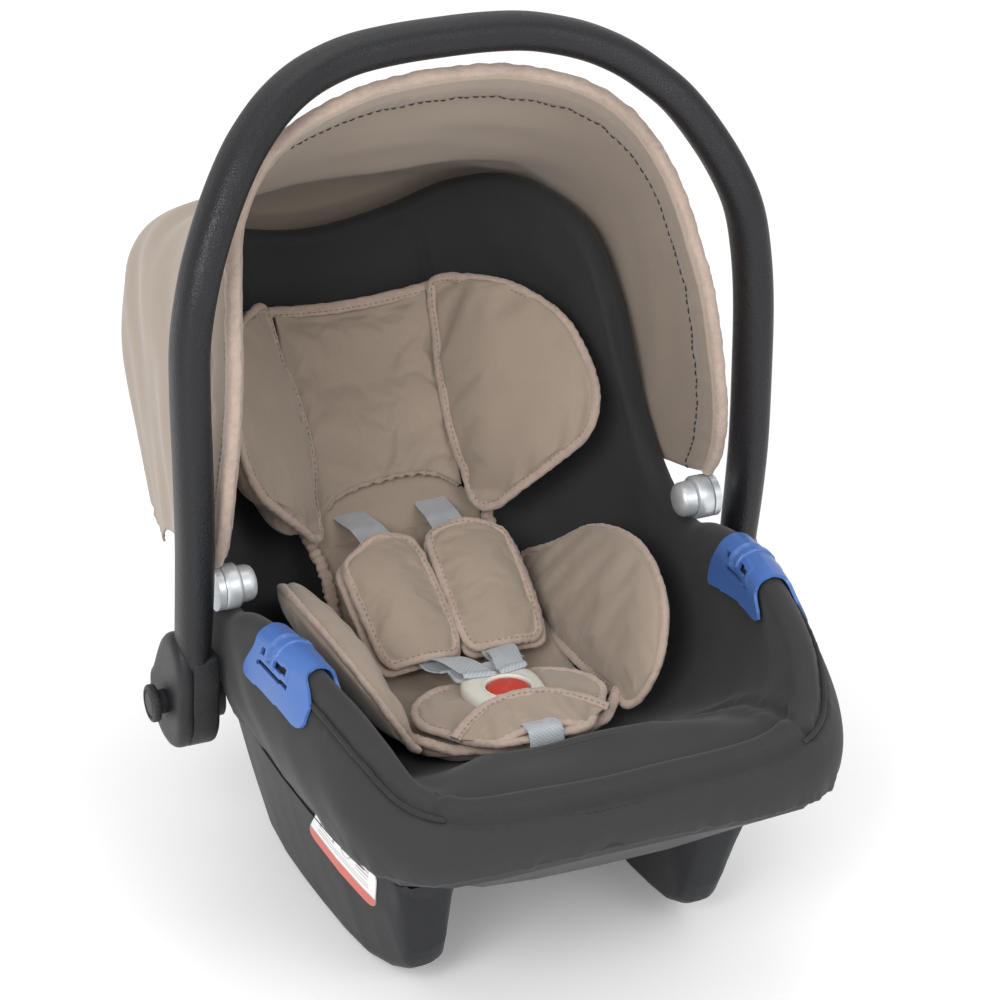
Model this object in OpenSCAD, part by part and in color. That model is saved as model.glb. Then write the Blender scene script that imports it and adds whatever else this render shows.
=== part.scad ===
// Infant car seat with carrying handle, folding canopy and five-piece harness.
// Frame: millimetres, +Z up, the foot end faces -Y, X = 0 is the plane of symmetry.

/* [Bucket] */
// Wall thickness of the moulded bucket
shell_t = 3.4; // [3:0.1:3.8]
// Thickness of the foam liner under the cover
liner_t = 8.5; // [7:0.5:9]
// Thickness of the padded cover
cover_t = 3; // [2.4:0.1:3.2]
// Half width of the rolled rim
rim_w = 9.5; // [9:0.1:10]

/* [Handle] */
// Half width of the handle tube, across the seat
tube_w = 12.5; // [11:0.5:13]
// Half depth of the handle tube, fore and aft
tube_d = 15.5; // [14:0.5:16]
// Radius of the handle's pivot bolt
bolt_r = 8; // [7:0.1:9]
// Radial running clearance of a pivot
run_c = 0.05; // [0.02:0.01:0.09]
// Inward travel of a handle release button
button_travel = 4; // [3:0.5:4]

/* [Canopy] */
// Thickness of the canopy fabric
fabric_t = 2.5; // [2:0.1:3]
// Radius of the canopy's pivot pin
canopy_pin_r = 5; // [4:0.1:6]

/* [Harness] */
// Width of the shoulder webbing
web_w = 25; // [24:1:26]
// Thickness of the webbing
web_t = 1.6; // [1.2:0.1:1.8]

/* [Hidden] */

// the handle turns about this line, the canopy about the second
piv = [4, 163];
hub = [-13, 248];
// moves the whole seat so that its box is centred over the origin
y0 = -5.25;

module at() translate([0, y0, 0]) children();

// ---------- general functions ----------
function mx(p) = [-p[0], p[1], p[2]];
function unit(v) = v / max(norm(v), 1e-9);
function crom(a, b, c, d, t) = 0.5 * (2 * b + (c - a) * t + (2 * a - 5 * b + 4 * c - d) * t * t + (3 * b - a - 3 * c + d) * t * t * t);
// smooth value of a table at a fractional row
function tab(T, s) = let(n = len(T) - 1, i = max(0, min(floor(s), n - 1)), t = s - i)
  crom(T[max(i - 1, 0)], T[i], T[i + 1], T[min(i + 2, n)], t);
// the same for points of the right half, mirrored across X = 0 at both ends
function tabm(T, s) = let(n = len(T) - 1, i = max(0, min(floor(s), n - 1)), t = s - i)
  crom(i == 0 ? mx(T[1]) : T[i - 1], T[i], T[i + 1], i + 2 > n ? mx(T[n - 1]) : T[i + 2], t);
function bez(a, b, c, d, t) = let(u = 1 - t) a * u * u * u + 3 * b * u * u * t + 3 * c * u * t * t + d * t * t * t;
function flat1(l) = [for (a = l) for (b = a) b];
// a full loop from the points of its right half
function full(h) = concat(h, [for (k = [len(h) - 2 : -1 : 1]) mx(h[k])]);

// closed skin over loops: the first loop's cap faces down, the last one's up
module layer(loops) {
  m = len(loops[0]); kk = len(loops) - 1; n = m / 2; base = kk * m;
  walls = [for (k = [0 : kk - 1]) for (i = [0 : m - 1]) let(j = (i + 1) % m)
    each [[k * m + i, (k + 1) * m + i, (k + 1) * m + j], [k * m + i, (k + 1) * m + j, k * m + j]]];
  low = [for (j = [0 : n - 1]) each (j == 0 ? [[0, 1, m - 1]] : j == n - 1 ? [[n - 1, n, n + 1]] :
    [[j, j + 1, m - j - 1], [j, m - j - 1, m - j]])];
  top = [for (j = [0 : n - 1]) each (j == 0 ? [[base, base + m - 1, base + 1]] : j == n - 1 ? [[base + n - 1, base + n + 1, base + n]] :
    [[base + j, base + m - j - 1, base + j + 1], [base + j, base + m - j, base + m - j - 1]])];
  polyhedron(points = flat1(loops), faces = concat(walls, low, top), convexity = 10);
}

// tube over closed rings, each end closed by a fan about its middle
module tube(rings) {
  m = len(rings[0]); kk = len(rings) - 1; np = m * (kk + 1);
  function mid(r) = [for (c = [0 : 2]) [for (p = r) p[c]] * [for (p = r) 1] / m];
  walls = [for (k = [0 : kk - 1]) for (i = [0 : m - 1]) let(j = (i + 1) % m)
    each [[k * m + i, (k + 1) * m + i, (k + 1) * m + j], [k * m + i, (k + 1) * m + j, k * m + j]]];
  a = [for (i = [0 : m - 1]) [np, i, (i + 1) % m]];
  b = [for (i = [0 : m - 1]) [np + 1, kk * m + (i + 1) % m, kk * m + i]];
  polyhedron(points = concat(flat1(rings), [mid(rings[0]), mid(rings[kk])]), faces = concat(walls, a, b), convexity = 10);
}

// closed slab between two grids of one size: the lower one G and the upper one H
module slab(G, H) {
  r = len(G); c = len(G[0]); o = r * c;
  lo = [for (a = [0 : r - 2]) for (b = [0 : c - 2]) let(p = a * c + b) each [[p, p + c, p + c + 1], [p, p + c + 1, p + 1]]];
  hi = [for (a = [0 : r - 2]) for (b = [0 : c - 2]) let(p = o + a * c + b) each [[p, p + c + 1, p + c], [p, p + 1, p + c + 1]]];
  s1 = [for (b = [0 : c - 2]) each [[b, b + 1, o + b + 1], [b, o + b + 1, o + b]]];
  s2 = [for (b = [0 : c - 2]) let(p = (r - 1) * c + b) each [[p, o + p + 1, p + 1], [p, o + p, o + p + 1]]];
  s3 = [for (a = [0 : r - 2]) let(p = a * c) each [[p, o + p + c, p + c], [p, o + p, o + p + c]]];
  s4 = [for (a = [0 : r - 2]) let(p = a * c + c - 1) each [[p, p + c, o + p + c], [p, o + p + c, o + p]]];
  polyhedron(points = concat(flat1(G), flat1(H)), faces = concat(lo, hi, s1, s2, s3, s4), convexity = 10);
}

// ---------- the bucket's shape: one row per spoke, from the foot end round the right side to the head ----------
// middle of the rim's top
RIM = [[0,-258,192],[60,-258,193],[106,-256,197],[134,-244,207],[149,-214,227],[158,-175,241],[165,-125,248],[168,-80,247],[169,-45,241],[169,-13,230],
       [169,20,236],[168,50,258],[163,78,310],[158,98,362],[152,125,400],[143,165,416],[128,212,418],[98,246,406],[52,258,388],[0,261,380]];
// fullest point outside the rim: distance out, height, and the same for the cover's hem
OUT = [[25,168,22,147],[25,168,22,147],[25,170,22,145],[26,172,21,142],[27,182,18,141],[23,188,13,146],[18,192,8,152],[16,195,4,153],[12,195,3,151],[12,190,3,150],
       [12,195,3,152],[12,208,3,160],[11,245,4,185],[11,290,5,225],[12,335,7,270],[12,365,9,315],[13,382,10,345],[13,378,11,350],[13,364,11,340],[13,358,11,335]];
// edge of the flat strip that is the seat and the backrest
FLOOR = [[0,-190,180],[35,-188,180],[60,-176,176],[72,-152,157],[77,-125,140],[79,-98,130],[80,-68,124],[80,-38,120],[80,-8,118],[80,20,117],
         [80,48,119],[80,72,128],[80,95,147],[80,118,174],[79,145,213],[76,172,253],[70,198,292],[54,220,325],[28,232,343],[0,236,349]];
// outside of the bucket below the hem, and its belly
MIDO = [[0,-232,112],[58,-230,112],[98,-222,113],[120,-200,118],[130,-165,126],[136,-130,132],[141,-90,136],[144,-55,138],[145,-20,140],[145,10,141],
        [144,40,144],[142,70,150],[138,98,165],[134,125,185],[130,155,215],[122,190,245],[108,225,270],[82,252,280],[45,266,283],[0,271,284]];
BELLY = [[0,-168,96],[45,-166,96],[72,-158,93],[86,-138,86],[92,-112,78],[96,-85,71],[98,-58,67],[100,-32,65],[100,-8,64],[100,15,64],
         [99,38,66],[97,62,70],[94,86,77],[90,108,86],[84,128,97],[74,146,109],[60,160,121],[42,170,130],[22,175,135],[0,177,137]];
// how straight the inside runs from the rim to the floor: 1 is a ledge or a plain back
STRAIGHT = [1,1,0.85,0.5,0.2,0,0,0,0,0,0,0,0,0,0,0.1,0.4,0.8,1,1];
NS = 24;
LASTROW = len(RIM) - 1;
function row(h) = h * LASTROW / NS;
function rim(s) = tabm(RIM, s);
function floorp(s) = tabm(FLOOR, s);
// outward direction of the rim in plan
function outw(s) = let(e = 0.05, a = s < e ? mx(rim(e)) : rim(s - e), b = s > LASTROW - e ? mx(rim(LASTROW - e)) : rim(s + e), d = b - a) unit([d[1], -d[0], 0]);
// direction out of the seat's surface into the seat
function upn(s) = let(e = 0.3, a = floorp(max(s - e, 0)), b = floorp(min(s + e, LASTROW)), d = unit([0, b[1] - a[1], b[2] - a[2]])) s < 1.3 ? [0, 0, 1] : [0, -d[2], d[1]];
// point on the inside surface, u = 0 at the rim and 1 at the floor, moved off millimetres towards the shell
function inside(s, u, off) = let(
  r = rim(s), n = outw(s), f = floorp(s), nf = upn(s), k = tab(STRAIGHT, s),
  ri = r - n * (rim_w - off) - [0, 0, 0.9 * rim_w], hgt = ri[2] - f[2],
  f2 = f - nf * off, sideways = [unit([n[0], n[1] * 0.3, 0])[0], unit([n[0], n[1] * 0.3, 0])[1], 0],
  p1 = (ri - [0, 0, 0.55 * hgt]) * (1 - k) + (ri + (f2 - ri) * 0.4 + [0, 0, (s < 6 ? 0.35 : 0) * hgt]) * k,
  p2 = (f2 + sideways * 0.55 * max(ri[0] - f[0], 10)) * (1 - k) + (f2 + (ri - f2) * 0.35 + [0, 0, (s < 6 ? 0.22 : 0) * hgt]) * k)
  bez(ri, p1, p2, f2, u);
// rim and skirt loops of the outside surface, moved off millimetres inwards, from the hem up
function skirt(s, off) = let(r = rim(s), n = outw(s), o = tab(OUT, s), w = rim_w - off) [
  r + n * (o[2] - off) + [0, 0, o[3] - r[2]],
  r + n * ((o[2] + o[0]) / 2 + 2 - off) + [0, 0, (o[3] + o[1]) / 2 - r[2]],
  r + n * (o[0] - off) + [0, 0, o[1] - r[2]],
  r + n * ((o[0] * 0.62 + rim_w * 0.38) + 1 - off) + [0, 0, (o[1] * 0.45 + (r[2] - rim_w) * 0.55) - r[2]],
  r + n * w + [0, 0, -0.9 * rim_w]];
function crown(s, off) = let(r = rim(s), n = outw(s), w = rim_w - off) [
  r + n * w * 0.72 + [0, 0, -0.3 * rim_w - off * 0.7], r + [0, 0, -off], r - n * w * 0.72 + [0, 0, -0.3 * rim_w - off * 0.7]];
US = [0, 0.1, 0.22, 0.36, 0.5, 0.66, 0.83, 1];
function loopsof(f, cnt) = [for (k = [0 : cnt - 1]) full([for (h = [0 : NS]) f(row(h))[k]])];

// ---------- bucket, base, liner, cover ----------
slots_at = [[-34, 1], [34, 1]];
// rectangular ways for the harness through every layer
module harness_ways() {
  for (a = [-1, 1]) translate([a * 34 - 16, 120, 221]) cube([32, 125, 9]);
  translate([-15, -141, 60]) cube([30, 5, 100]);
}

function shell_outer(s) = let(k = skirt(s, cover_t + 2.0), m = tabm(MIDO, s), b = tabm(BELLY, s))
  [b, b * 0.55 + m * 0.45 + [0, 0, -3], m, k[0] * 0.6 + m * 0.4, k[0], k[1], k[2], k[3], k[4]];
function shell_edge(s) = let(r = rim(s), n = outw(s), c = cover_t + 1.1)
  [r + n * (rim_w - c - 2.2) + [0, 0, -c - 4], r + n * (rim_w - c - shell_t + 0.4) + [0, 0, -c - 4]];
function shell_inner(s) = let(k = skirt(s, cover_t + 2.0 + shell_t), m = tabm(MIDO, s), b = tabm(BELLY, s), n = outw(s), t = shell_t)
  [k[4], k[3], k[2], k[1], k[0], (k[0] + n * t) * 0.6 + m * 0.4 - n * t, m - n * t + [0, 0, 1], b * 0.55 + m * 0.45 - n * t * 0.6 + [0, 0, t - 3], b + [0, 0, t]];
module shell() color([0.16, 0.17, 0.18]) difference() {
  layer(concat(loopsof(function(s) shell_outer(s), 9), loopsof(function(s) shell_edge(s), 2), loopsof(function(s) shell_inner(s), 9)));
  harness_ways();
}

// station: y, top edge x and z, bottom edge x and z, panel z, filled or not
BASE = [[-190,127,102,119,90,96,1],[-184,129,104,116,68,91.5,1],[-176,131,107,113,42,91.5,1],[-175,131,107,113,40,91.5,0],[-168,133,110,112,25,90,0],[-160,135,113,112,19,88,0],
        [-140,140,119,114,10,81.5,0],[-110,145,125,117,3,73,0],[-75,149,130,118,0,62,0],[-35,151,134,119,0,59,0],[0,151,137,119,0,58,0],[35,150,140,118,0,59,0],
        [75,147,146,114,0,64,0],[105,142,154,109,6,72,0],[130,135,164,104,20,82,0],[149,126,172,101,46,92,0],[150,126,172,101,47,92,1],[160,119,176,104,110,112,1]];
function base_half(r) = let(y = r[0], xt = r[1], zt = r[2], xb = r[3], zb = r[4], zp = r[5], xi = xb - 25, fl = r[6]) [
  [0, y, zp + 3], [xi - 5, y, zp + 3],
  fl == 1 ? [xi + 3, y, zp + 3] : [xi + 3, y, zb + 8], fl == 1 ? [xt - 6, y, max(zp + 3, zt - 4)] : [xb - 5, y, zb + 7],
  [xt - 3.2, y, zt], [xt, y, zt], [(xt + xb) / 2 + 3.5, y, (zt + zb) / 2], [xb + 2.5, y, zb + 6], [xb - 3, y, zb], [xb - 16, y, zb], [xi, y, zb + 5], [xi - 6, y, zp], [0, y, zp]];
module rocker_base() color([0.24, 0.25, 0.26])
  difference() {
    tube([for (r = BASE) let(h = base_half(r)) concat(h, [for (k = [len(h) - 2 : -1 : 1]) mx(h[k])])]);
    translate([-16, -142, 40]) cube([32, 7, 80]);
  }

function liner_lo(s) = [for (u = [1, 0.83, 0.66, 0.5, 0.36, 0.22]) inside(s, u, cover_t + 3.2 + (liner_t - 4.9) * (0.35 + 0.65 * min(1, u * 1.2)))];
function liner_hi(s) = [for (u = [0.22, 0.36, 0.5, 0.66, 0.83, 1]) inside(s, u, cover_t + 3.2)];
module foam_liner() color([0.93, 0.93, 0.92]) difference() {
  layer(concat(loopsof(function(s) liner_lo(s), 6), loopsof(function(s) liner_hi(s), 6)));
  harness_ways();
}

function cover_lo(s) = concat([for (k = [7 : -1 : 0]) inside(s, US[k], cover_t)], [for (k = [2 : -1 : 0]) crown(s, cover_t)[k]], [for (k = [4 : -1 : 0]) skirt(s, cover_t)[k]]);
function cover_hi(s) = concat(skirt(s, 0), crown(s, 0), [for (k = [0 : 7]) inside(s, US[k], 0)]);
module seat_cover() color([0.25, 0.25, 0.26]) difference() {
  layer(concat(loopsof(function(s) cover_lo(s), 16), loopsof(function(s) cover_hi(s), 16)));
  harness_ways();
  for (a = [-1, 1]) onx(166, a) cylinder(r = 18, h = 30, $fn = 64);
}

// ---------- body insert and head pillow: slabs on the seat's own surface ----------
// y, bottom z, top z, share of the full width, share of the side wing's height
INS = [[-142,151.4,155.5,0.72,0.05],[-125,142.5,150.2,0.84,0.2],[-98,132.5,148,0.94,0.55],[-70,126,145,1,0.86],[-38,121.5,146,1,1],[-8,119.5,150,1,1],[20,118.5,157,0.96,0.84],
       [46,121,167,0.86,0.5],[68,130,178,0.74,0.22],[92,149,190,0.66,0.2],[112,172,200,0.6,0.1],[124,189,206,0.56,0.06]];
// x, lower and upper height over the middle for the wings
FIN = [[0,0,0],[28,0,0],[52,0,0],[70,1.5,6],[86,8,26],[100,24,50],[112,46,72],[122,72,88],[126,84,90]];
function ins_row(r, hi) = let(h = [for (f = FIN) [f[0] * r[3], r[0] - (hi == 1 ? 0 : 0) + f[1] * r[4] * 0, (hi == 1 ? r[2] + f[2] * r[4] * 1 : r[1] + f[1] * r[4] + (hi == 0 && f[0] > 60 ? (r[2] - r[1]) * r[4] * min(1, (f[0] - 60) / 40) : 0))]])
  concat([for (k = [len(h) - 1 : -1 : 1]) h[k]], [h[0]], [for (k = [1 : len(h) - 1]) mx(h[k])]);
module body_insert() color([0.62, 0.55, 0.49]) difference() {
  slab([for (r = INS) ins_row(r, 0)], [for (r = INS) ins_row(r, 1)]);
  translate([-14, -143, 100]) cube([28, 8, 90]);
  
}
// pillow: distance up the backrest, width share, wing share
PIL = [[-2,0.6,0.1],[12,0.86,0.5],[32,0.97,0.86],[58,1,1],[86,0.99,0.95],[110,0.92,0.72],[128,0.8,0.38],[138,0.65,0.14]];
PFIN = [[0,3.4,20],[30,3.4,20],[56,3.4,21],[70,4.5,26],[88,13,46],[104,34,72],[117,62,94],[127,88,110],[131,102,113]];
function pil_row(r, hi) = let(h = [for (f = PFIN) let(q = hi == 1 ? (f[0] > 60 ? 20 + (f[2] - 20) * r[2] : 20) : f[0] > 60 ? 3.4 + (f[1] - 3.4) * r[2] : r[0] < 20 ? 4.8 : 3.4) let(x = f[0] * r[1], g = r[0] + 21 * max(0, 1 - pow(x / 66, 2)) * max(0, 1 - r[0] / 76)) [x, 140 + 0.56 * g - 0.83 * q, 205 + 0.83 * g + 0.56 * q]])
  concat([for (k = [len(h) - 1 : -1 : 1]) h[k]], [h[0]], [for (k = [1 : len(h) - 1]) mx(h[k])]);
module head_pillow() color([0.62, 0.55, 0.49]) translate([6, 0, 0])
  slab([for (r = PIL) pil_row(r, 0)], [for (r = PIL) pil_row(r, 1)]);

// ---------- harness ----------
// flat band along a path in a plane of constant X: path points are [y, z], w wide, t thick
module band(path, x, w, t, skew = 0) {
  n = len(path) - 1;
  function nrm(i) = let(a = path[max(i - 1, 0)], b = path[min(i + 1, n)], d = (b - a) / norm(b - a)) [-d[1], d[0]];
  tube([for (i = [0 : n]) let(p = path[i], q = nrm(i) * t / 2, xx = x + skew * i / n)
    [[xx - w / 2, p[0] + q[0], p[1] + q[1]], [xx + w / 2, p[0] + q[0], p[1] + q[1]], [xx + w / 2, p[0] - q[0], p[1] - q[1]], [xx - w / 2, p[0] - q[0], p[1] - q[1]]]]);
}
STRAP = [[243,225.5],[190,225.5],[161,225.5],[151.8,225.2],[142.9,214.2],[131,208.8],[116,208.5],[100,210],[80,207],[50,188],[20,169],[-5,158],[-24,154.5],[-34,153]];
module strap(a) band(STRAP, a * 35, web_w, web_t, -a * 13);
module shoulder_strap_left() color([0.66, 0.68, 0.7]) strap(-1);
module shoulder_strap_right() color([0.66, 0.68, 0.7]) strap(1);
// wrap-round pad: an upper and a lower leaf about the strap
PAD = [[84,215],[68,206],[48,193],[28,180.5],[8,168.5],[-12,161.5]];
module pad(a) {
  band([for (p = PAD) p + [1, 3.6]], a * 30.5, 52, 9, -a * 3.5);
}
module shoulder_pad_left() color([0.55, 0.49, 0.43]) pad(-1);
module shoulder_pad_right() color([0.55, 0.49, 0.43]) pad(1);
// buckle on the crotch strap
module crotch_pad() color([0.6, 0.53, 0.47]) difference() {
  tube([for (r = [[-146,30,162.5],[-140,36,161],[-120,44,156.2],[-100,52,155.5],[-80,62,155.2],[-60,65,155],[-45,55,154.8],[-38,42,154.6]])
    [[-r[1] , r[0], r[2]], [r[1], r[0], r[2]], [r[1], r[0], r[2] - 5.5], [-r[1], r[0], r[2] - 5.5]]]);
  translate([-14, -142, 100]) cube([28, 10, 90]);
}
module crotch_strap() color([0.66, 0.68, 0.7]) band([[-138.5,84],[-138.5,120],[-138.3,154],[-134.5,164.4],[-124,162.4],[-115,160.2],[-109,158.8]], 0, 25, web_t);
module buckle_housing() color([0.86, 0.86, 0.82]) translate([0, -74, -1.5]) difference() {
  translate([0, 0, 157.4]) linear_extrude(10) union() { circle(r = 27, $fn = 64); translate([-18, -33]) square([36, 30]); }
  translate([0, -4, 159.5]) linear_extrude(10) circle(r = 15, $fn = 64);
  for (a = [-1, 1]) translate([a * 12 - 7.5, 10, 160]) cube([15, 20, 4]);
}
module buckle_button() color([0.75, 0.22, 0.18]) translate([0, -78, 161.7]) cylinder(r = 14.6, h = 5.2, $fn = 64);
module tongue(a) translate([a * 12, -64, -1.1]) {
  difference() {
    union() { translate([-6.5, 3, 160.6]) cube([13, 20, 2.6]); translate([a * 2 - 12, 22.6, 160.6]) cube([24, 12, 2.6]); }
    translate([a * 2 - 9.5, 26, 150]) cube([19, 4, 20]);
  }
}
module buckle_tongue_left() color([0.8, 0.8, 0.8]) tongue(-1);
module buckle_tongue_right() color([0.8, 0.8, 0.8]) tongue(1);
module harness_yoke() color([0.7, 0.71, 0.73]) difference() {
  translate([-55, 239, 203]) cube([110, 3, 28]);
  for (a = [-1, 1]) translate([a * 35 - 14, 235, 223]) cube([28, 10, 5]);
  translate([-14, 235, 209]) cube([28, 10, 5]);
}

// ---------- pivots, handle ----------
module onx(x, a) translate([a > 0 ? x : -x, piv[0], piv[1]]) rotate([0, a > 0 ? 90 : -90, 0]) children();
module pivot_boss(a) onx(178, a) difference() { cylinder(r = 17, h = 9.1, $fn = 64); translate([0, 0, -1]) cylinder(r = bolt_r, h = 13, $fn = 64); }
module pivot_boss_left() color([0.2, 0.21, 0.22]) pivot_boss(-1);
module pivot_boss_right() color([0.2, 0.21, 0.22]) pivot_boss(1);
module pivot_bolt(a) onx(178, a) cylinder(r = bolt_r, h = 27, $fn = 64);
module pivot_bolt_left() color([0.7, 0.7, 0.72]) pivot_bolt(-1);
module pivot_bolt_right() color([0.7, 0.7, 0.72]) pivot_bolt(1);
// paddle-shaped end of the handle
module handle_hub(a) translate([a > 0 ? 187.5 : -187.5, 0, 0]) rotate([90, 0, a > 0 ? 90 : -90]) mirror([a > 0 ? 0 : 1, 0, 0]) difference() {
  union() {
    translate([piv[0], piv[1], 0]) cylinder(r = 33, h = 29, $fn = 96);
    linear_extrude(29) polygon([[-33, 198], [2, 198], [piv[0] + 27, piv[1] + 18], [piv[0], piv[1] - 10], [piv[0] - 31, piv[1] + 5]]);
  }
  translate([piv[0], piv[1], -1]) cylinder(r = bolt_r + run_c, h = 18.2 + 1, $fn = 64);
  translate([piv[0], piv[1], 17.8]) cylinder(r = 9.6, h = 20, $fn = 64);
}
module handle_hub_left() color([0.17, 0.18, 0.19]) handle_hub(-1);
module handle_hub_right() color([0.17, 0.18, 0.19]) handle_hub(1);
GRIP = [[202,-16,198.05],[202,-19.5,220],[202,-26,255],[202,-31,295],[202,-32.5,345],[202,-32,395],[200,-30,432],[194,-29,465],[184,-23,492],[170,-14,518],[155,-5,539.5],
        [141,4,553],[124,13,566],[104,22,576],[84,29,582],[60,33,587],[30,34,589.5],[0,34,590]];
function grip_full() = concat([for (k = [0 : len(GRIP) - 1]) mx(GRIP[k])], [for (k = [len(GRIP) - 2 : -1 : 0]) GRIP[k]]);
module handle_bow() color([0.18, 0.19, 0.2]) {
  P = grip_full(); n = len(P) - 1; steps = 2 * n;
  // side: across the tube, away from the seat's middle; fore: fore and aft
  tube([for (k = [0 : steps]) let(s = k / 2, p = tab(P, s), d0 = tab(P, min(s + 0.1, n)) - tab(P, max(s - 0.1, 0)),
    d = k == 0 ? [0, 0, 1] : k == steps ? [0, 0, -1] : unit(d0), f0 = [0, 1, 0] - d * d[1], f = unit(f0), g = cross(d, f))
    [for (j = [0 : 15]) let(t = j * 22.5, c = cos(t), q = sin(t)) p + g * tube_w * sign(c) * pow(abs(c), 0.8) + f * tube_d * sign(q) * pow(abs(q), 0.8)]]);
}
module release_button(a) onx(205.3, a) difference() {
  union() { translate([0, 0, 4.2]) cylinder(r = 9.4, h = 12, $fn = 64); translate([0, 0, 16.2]) cylinder(r = 13, h = 5.5, $fn = 64); }
  translate([0, 0, 4]) cylinder(r = 6.6, h = 9, $fn = 48);
}
module release_button_left() color([0.2, 0.21, 0.22]) release_button(-1);
module release_button_right() color([0.2, 0.21, 0.22]) release_button(1);
module button_spring(a) onx(205.1, a) difference() { cylinder(r = 6.2, h = 13, $fn = 48); translate([0, 0, -1]) cylinder(r = 5, h = 15, $fn = 48); }
module button_spring_left() color([0.75, 0.76, 0.78]) button_spring(-1);
module button_spring_right() color([0.75, 0.76, 0.78]) button_spring(1);

// ---------- canopy ----------
module hubx(x, a) translate([a > 0 ? x : -x, hub[0], hub[1]]) rotate([0, a > 0 ? 90 : -90, 0]) children();
module canopy_socket(a) hubx(168, a) difference() { cylinder(r = 15, h = 11.6, $fn = 64); translate([0, 0, -1]) cylinder(r = canopy_pin_r + run_c, h = 14, $fn = 48); }
module canopy_socket_left() color([0.78, 0.79, 0.8]) canopy_socket(-1);
module canopy_socket_right() color([0.78, 0.79, 0.8]) canopy_socket(1);
module canopy_pin(a) union() { hubx(158, a) { cylinder(r = canopy_pin_r, h = 23, $fn = 48); translate([0, 0, 22]) cylinder(r = 15, h = 4.6, $fn = 64); } translate([a > 0 ? 180 : -184.6, hub[0] - 6, hub[1]]) cube([4.6, 12, 14.4]); }
module canopy_pin_left() color([0.6, 0.6, 0.62]) canopy_pin(-1);
module canopy_pin_right() color([0.6, 0.6, 0.62]) canopy_pin(1);
module canopy_cap(a) hubx(156, a) difference() { cylinder(r = 13.2, h = 11.6, $fn = 64); translate([0, 0, 2]) cylinder(r = canopy_pin_r, h = 12, $fn = 48); }
module canopy_cap_left() color([0.8, 0.81, 0.82]) canopy_cap(-1);
module canopy_cap_right() color([0.8, 0.81, 0.82]) canopy_cap(1);
// the front arc's outline: x as a share of its half width, height as a share of its rise, and how far it bows forward
ARC = [[1,0,0],[1.005,0.05,-12],[1,0.137,-25],[0.985,0.24,-33],[0.965,0.34,-37],[0.94,0.47,-38],[0.915,0.567,-31],[0.885,0.67,-22],[0.85,0.745,-13],[0.78,0.82,-7],[0.69,0.88,-3],[0.58,0.925,-1],[0.44,0.96,0],[0.25,0.99,0],[0,1,0]];
// the same for the boxy rear of the hood
ARCB = [[1,0],[1,0.07],[1,0.18],[1,0.31],[0.995,0.43],[0.985,0.56],[0.97,0.67],[0.94,0.77],[0.9,0.85],[0.83,0.915],[0.74,0.955],[0.62,0.98],[0.46,0.993],[0.25,1],[0,1]];
// half width, end y, end z, top y, top z and boxiness of arcs from the front bow to the rear hem
HOOD = [[184.5,-13,264.5,33,569.5,0],[184,22,254,95,507,0.35],[181,62,246,155,460,0.75],[172,102,236,213,438,1],[165,140,221,268,408,1],[159,167,204,294,355,0.95],[152,186,189,291,272,0.85]];
function arc_half(s, off) = let(w = tab(HOOD, s), fade = pow(max(0, 1 - s / 3), 2), ay = w[1], az = w[2], by = w[3], bz = w[4], m = max(0, min(1, w[5])))
  [for (k = [0 : len(ARC) - 1]) let(r = ARC[k], q = r[1] * (1 - m) + ARCB[k][1] * m, x = r[0] * (1 - m) + ARCB[k][0] * m)
    [(w[0] - off) * x, ay + (by - off * 0.3 - ay) * q + r[2] * fade, az + (bz - off - az) * q]];
function arc(s, off) = let(h = arc_half(s, off)) concat([for (k = [0 : len(h) - 1]) h[k]], [for (k = [len(h) - 2 : -1 : 0]) mx(h[k])]);
HS = [0, 0.25, 0.6, 1, 1.5, 2, 2.5, 3, 3.5, 4, 4.5, 5, 5.5, 6];
module canopy_fabric() color([0.62, 0.55, 0.49])
  slab([for (s = HS) let(o = arc(s, fabric_t)) s < 3 ? o : [for (p = o) p - [0, 0, 0]]], [for (s = HS) arc(s, 0)]);
module canopy_bow() color([0.15, 0.15, 0.16])
  tube([for (k = [0 : 28]) let(o = fabric_t + 0.6, a = arc(0.02, o)[k], b = arc(0.02, o + 3)[k], c = arc(0.16, o + 3)[k], d = arc(0.16, o)[k]) [a, b, c, d]]);

// ---------- belt guides ----------
// saddle plates that follow the cover's rim
function guide_col(s, off) = let(k = skirt(s, off), c = crown(s, off)) [k[2] * 0.4 + k[3] * 0.6, k[3] * 0.4 + k[4] * 0.6, k[4], c[0], c[1], c[2], inside(s, 0, off), inside(s, 0.1, off), inside(s, 0.2, off)];
module belt_guide(a) mirror([a > 0 ? 0 : 1, 0, 0]) slab([for (s = [5.35 : 0.25 : 7.35]) guide_col(s, -1.7)], [for (s = [5.35 : 0.25 : 7.35]) guide_col(s, -4.2)]);
module belt_guide_left() color([0.25, 0.42, 0.75]) belt_guide(-1);
module belt_guide_right() color([0.25, 0.42, 0.75]) belt_guide(1);

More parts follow.
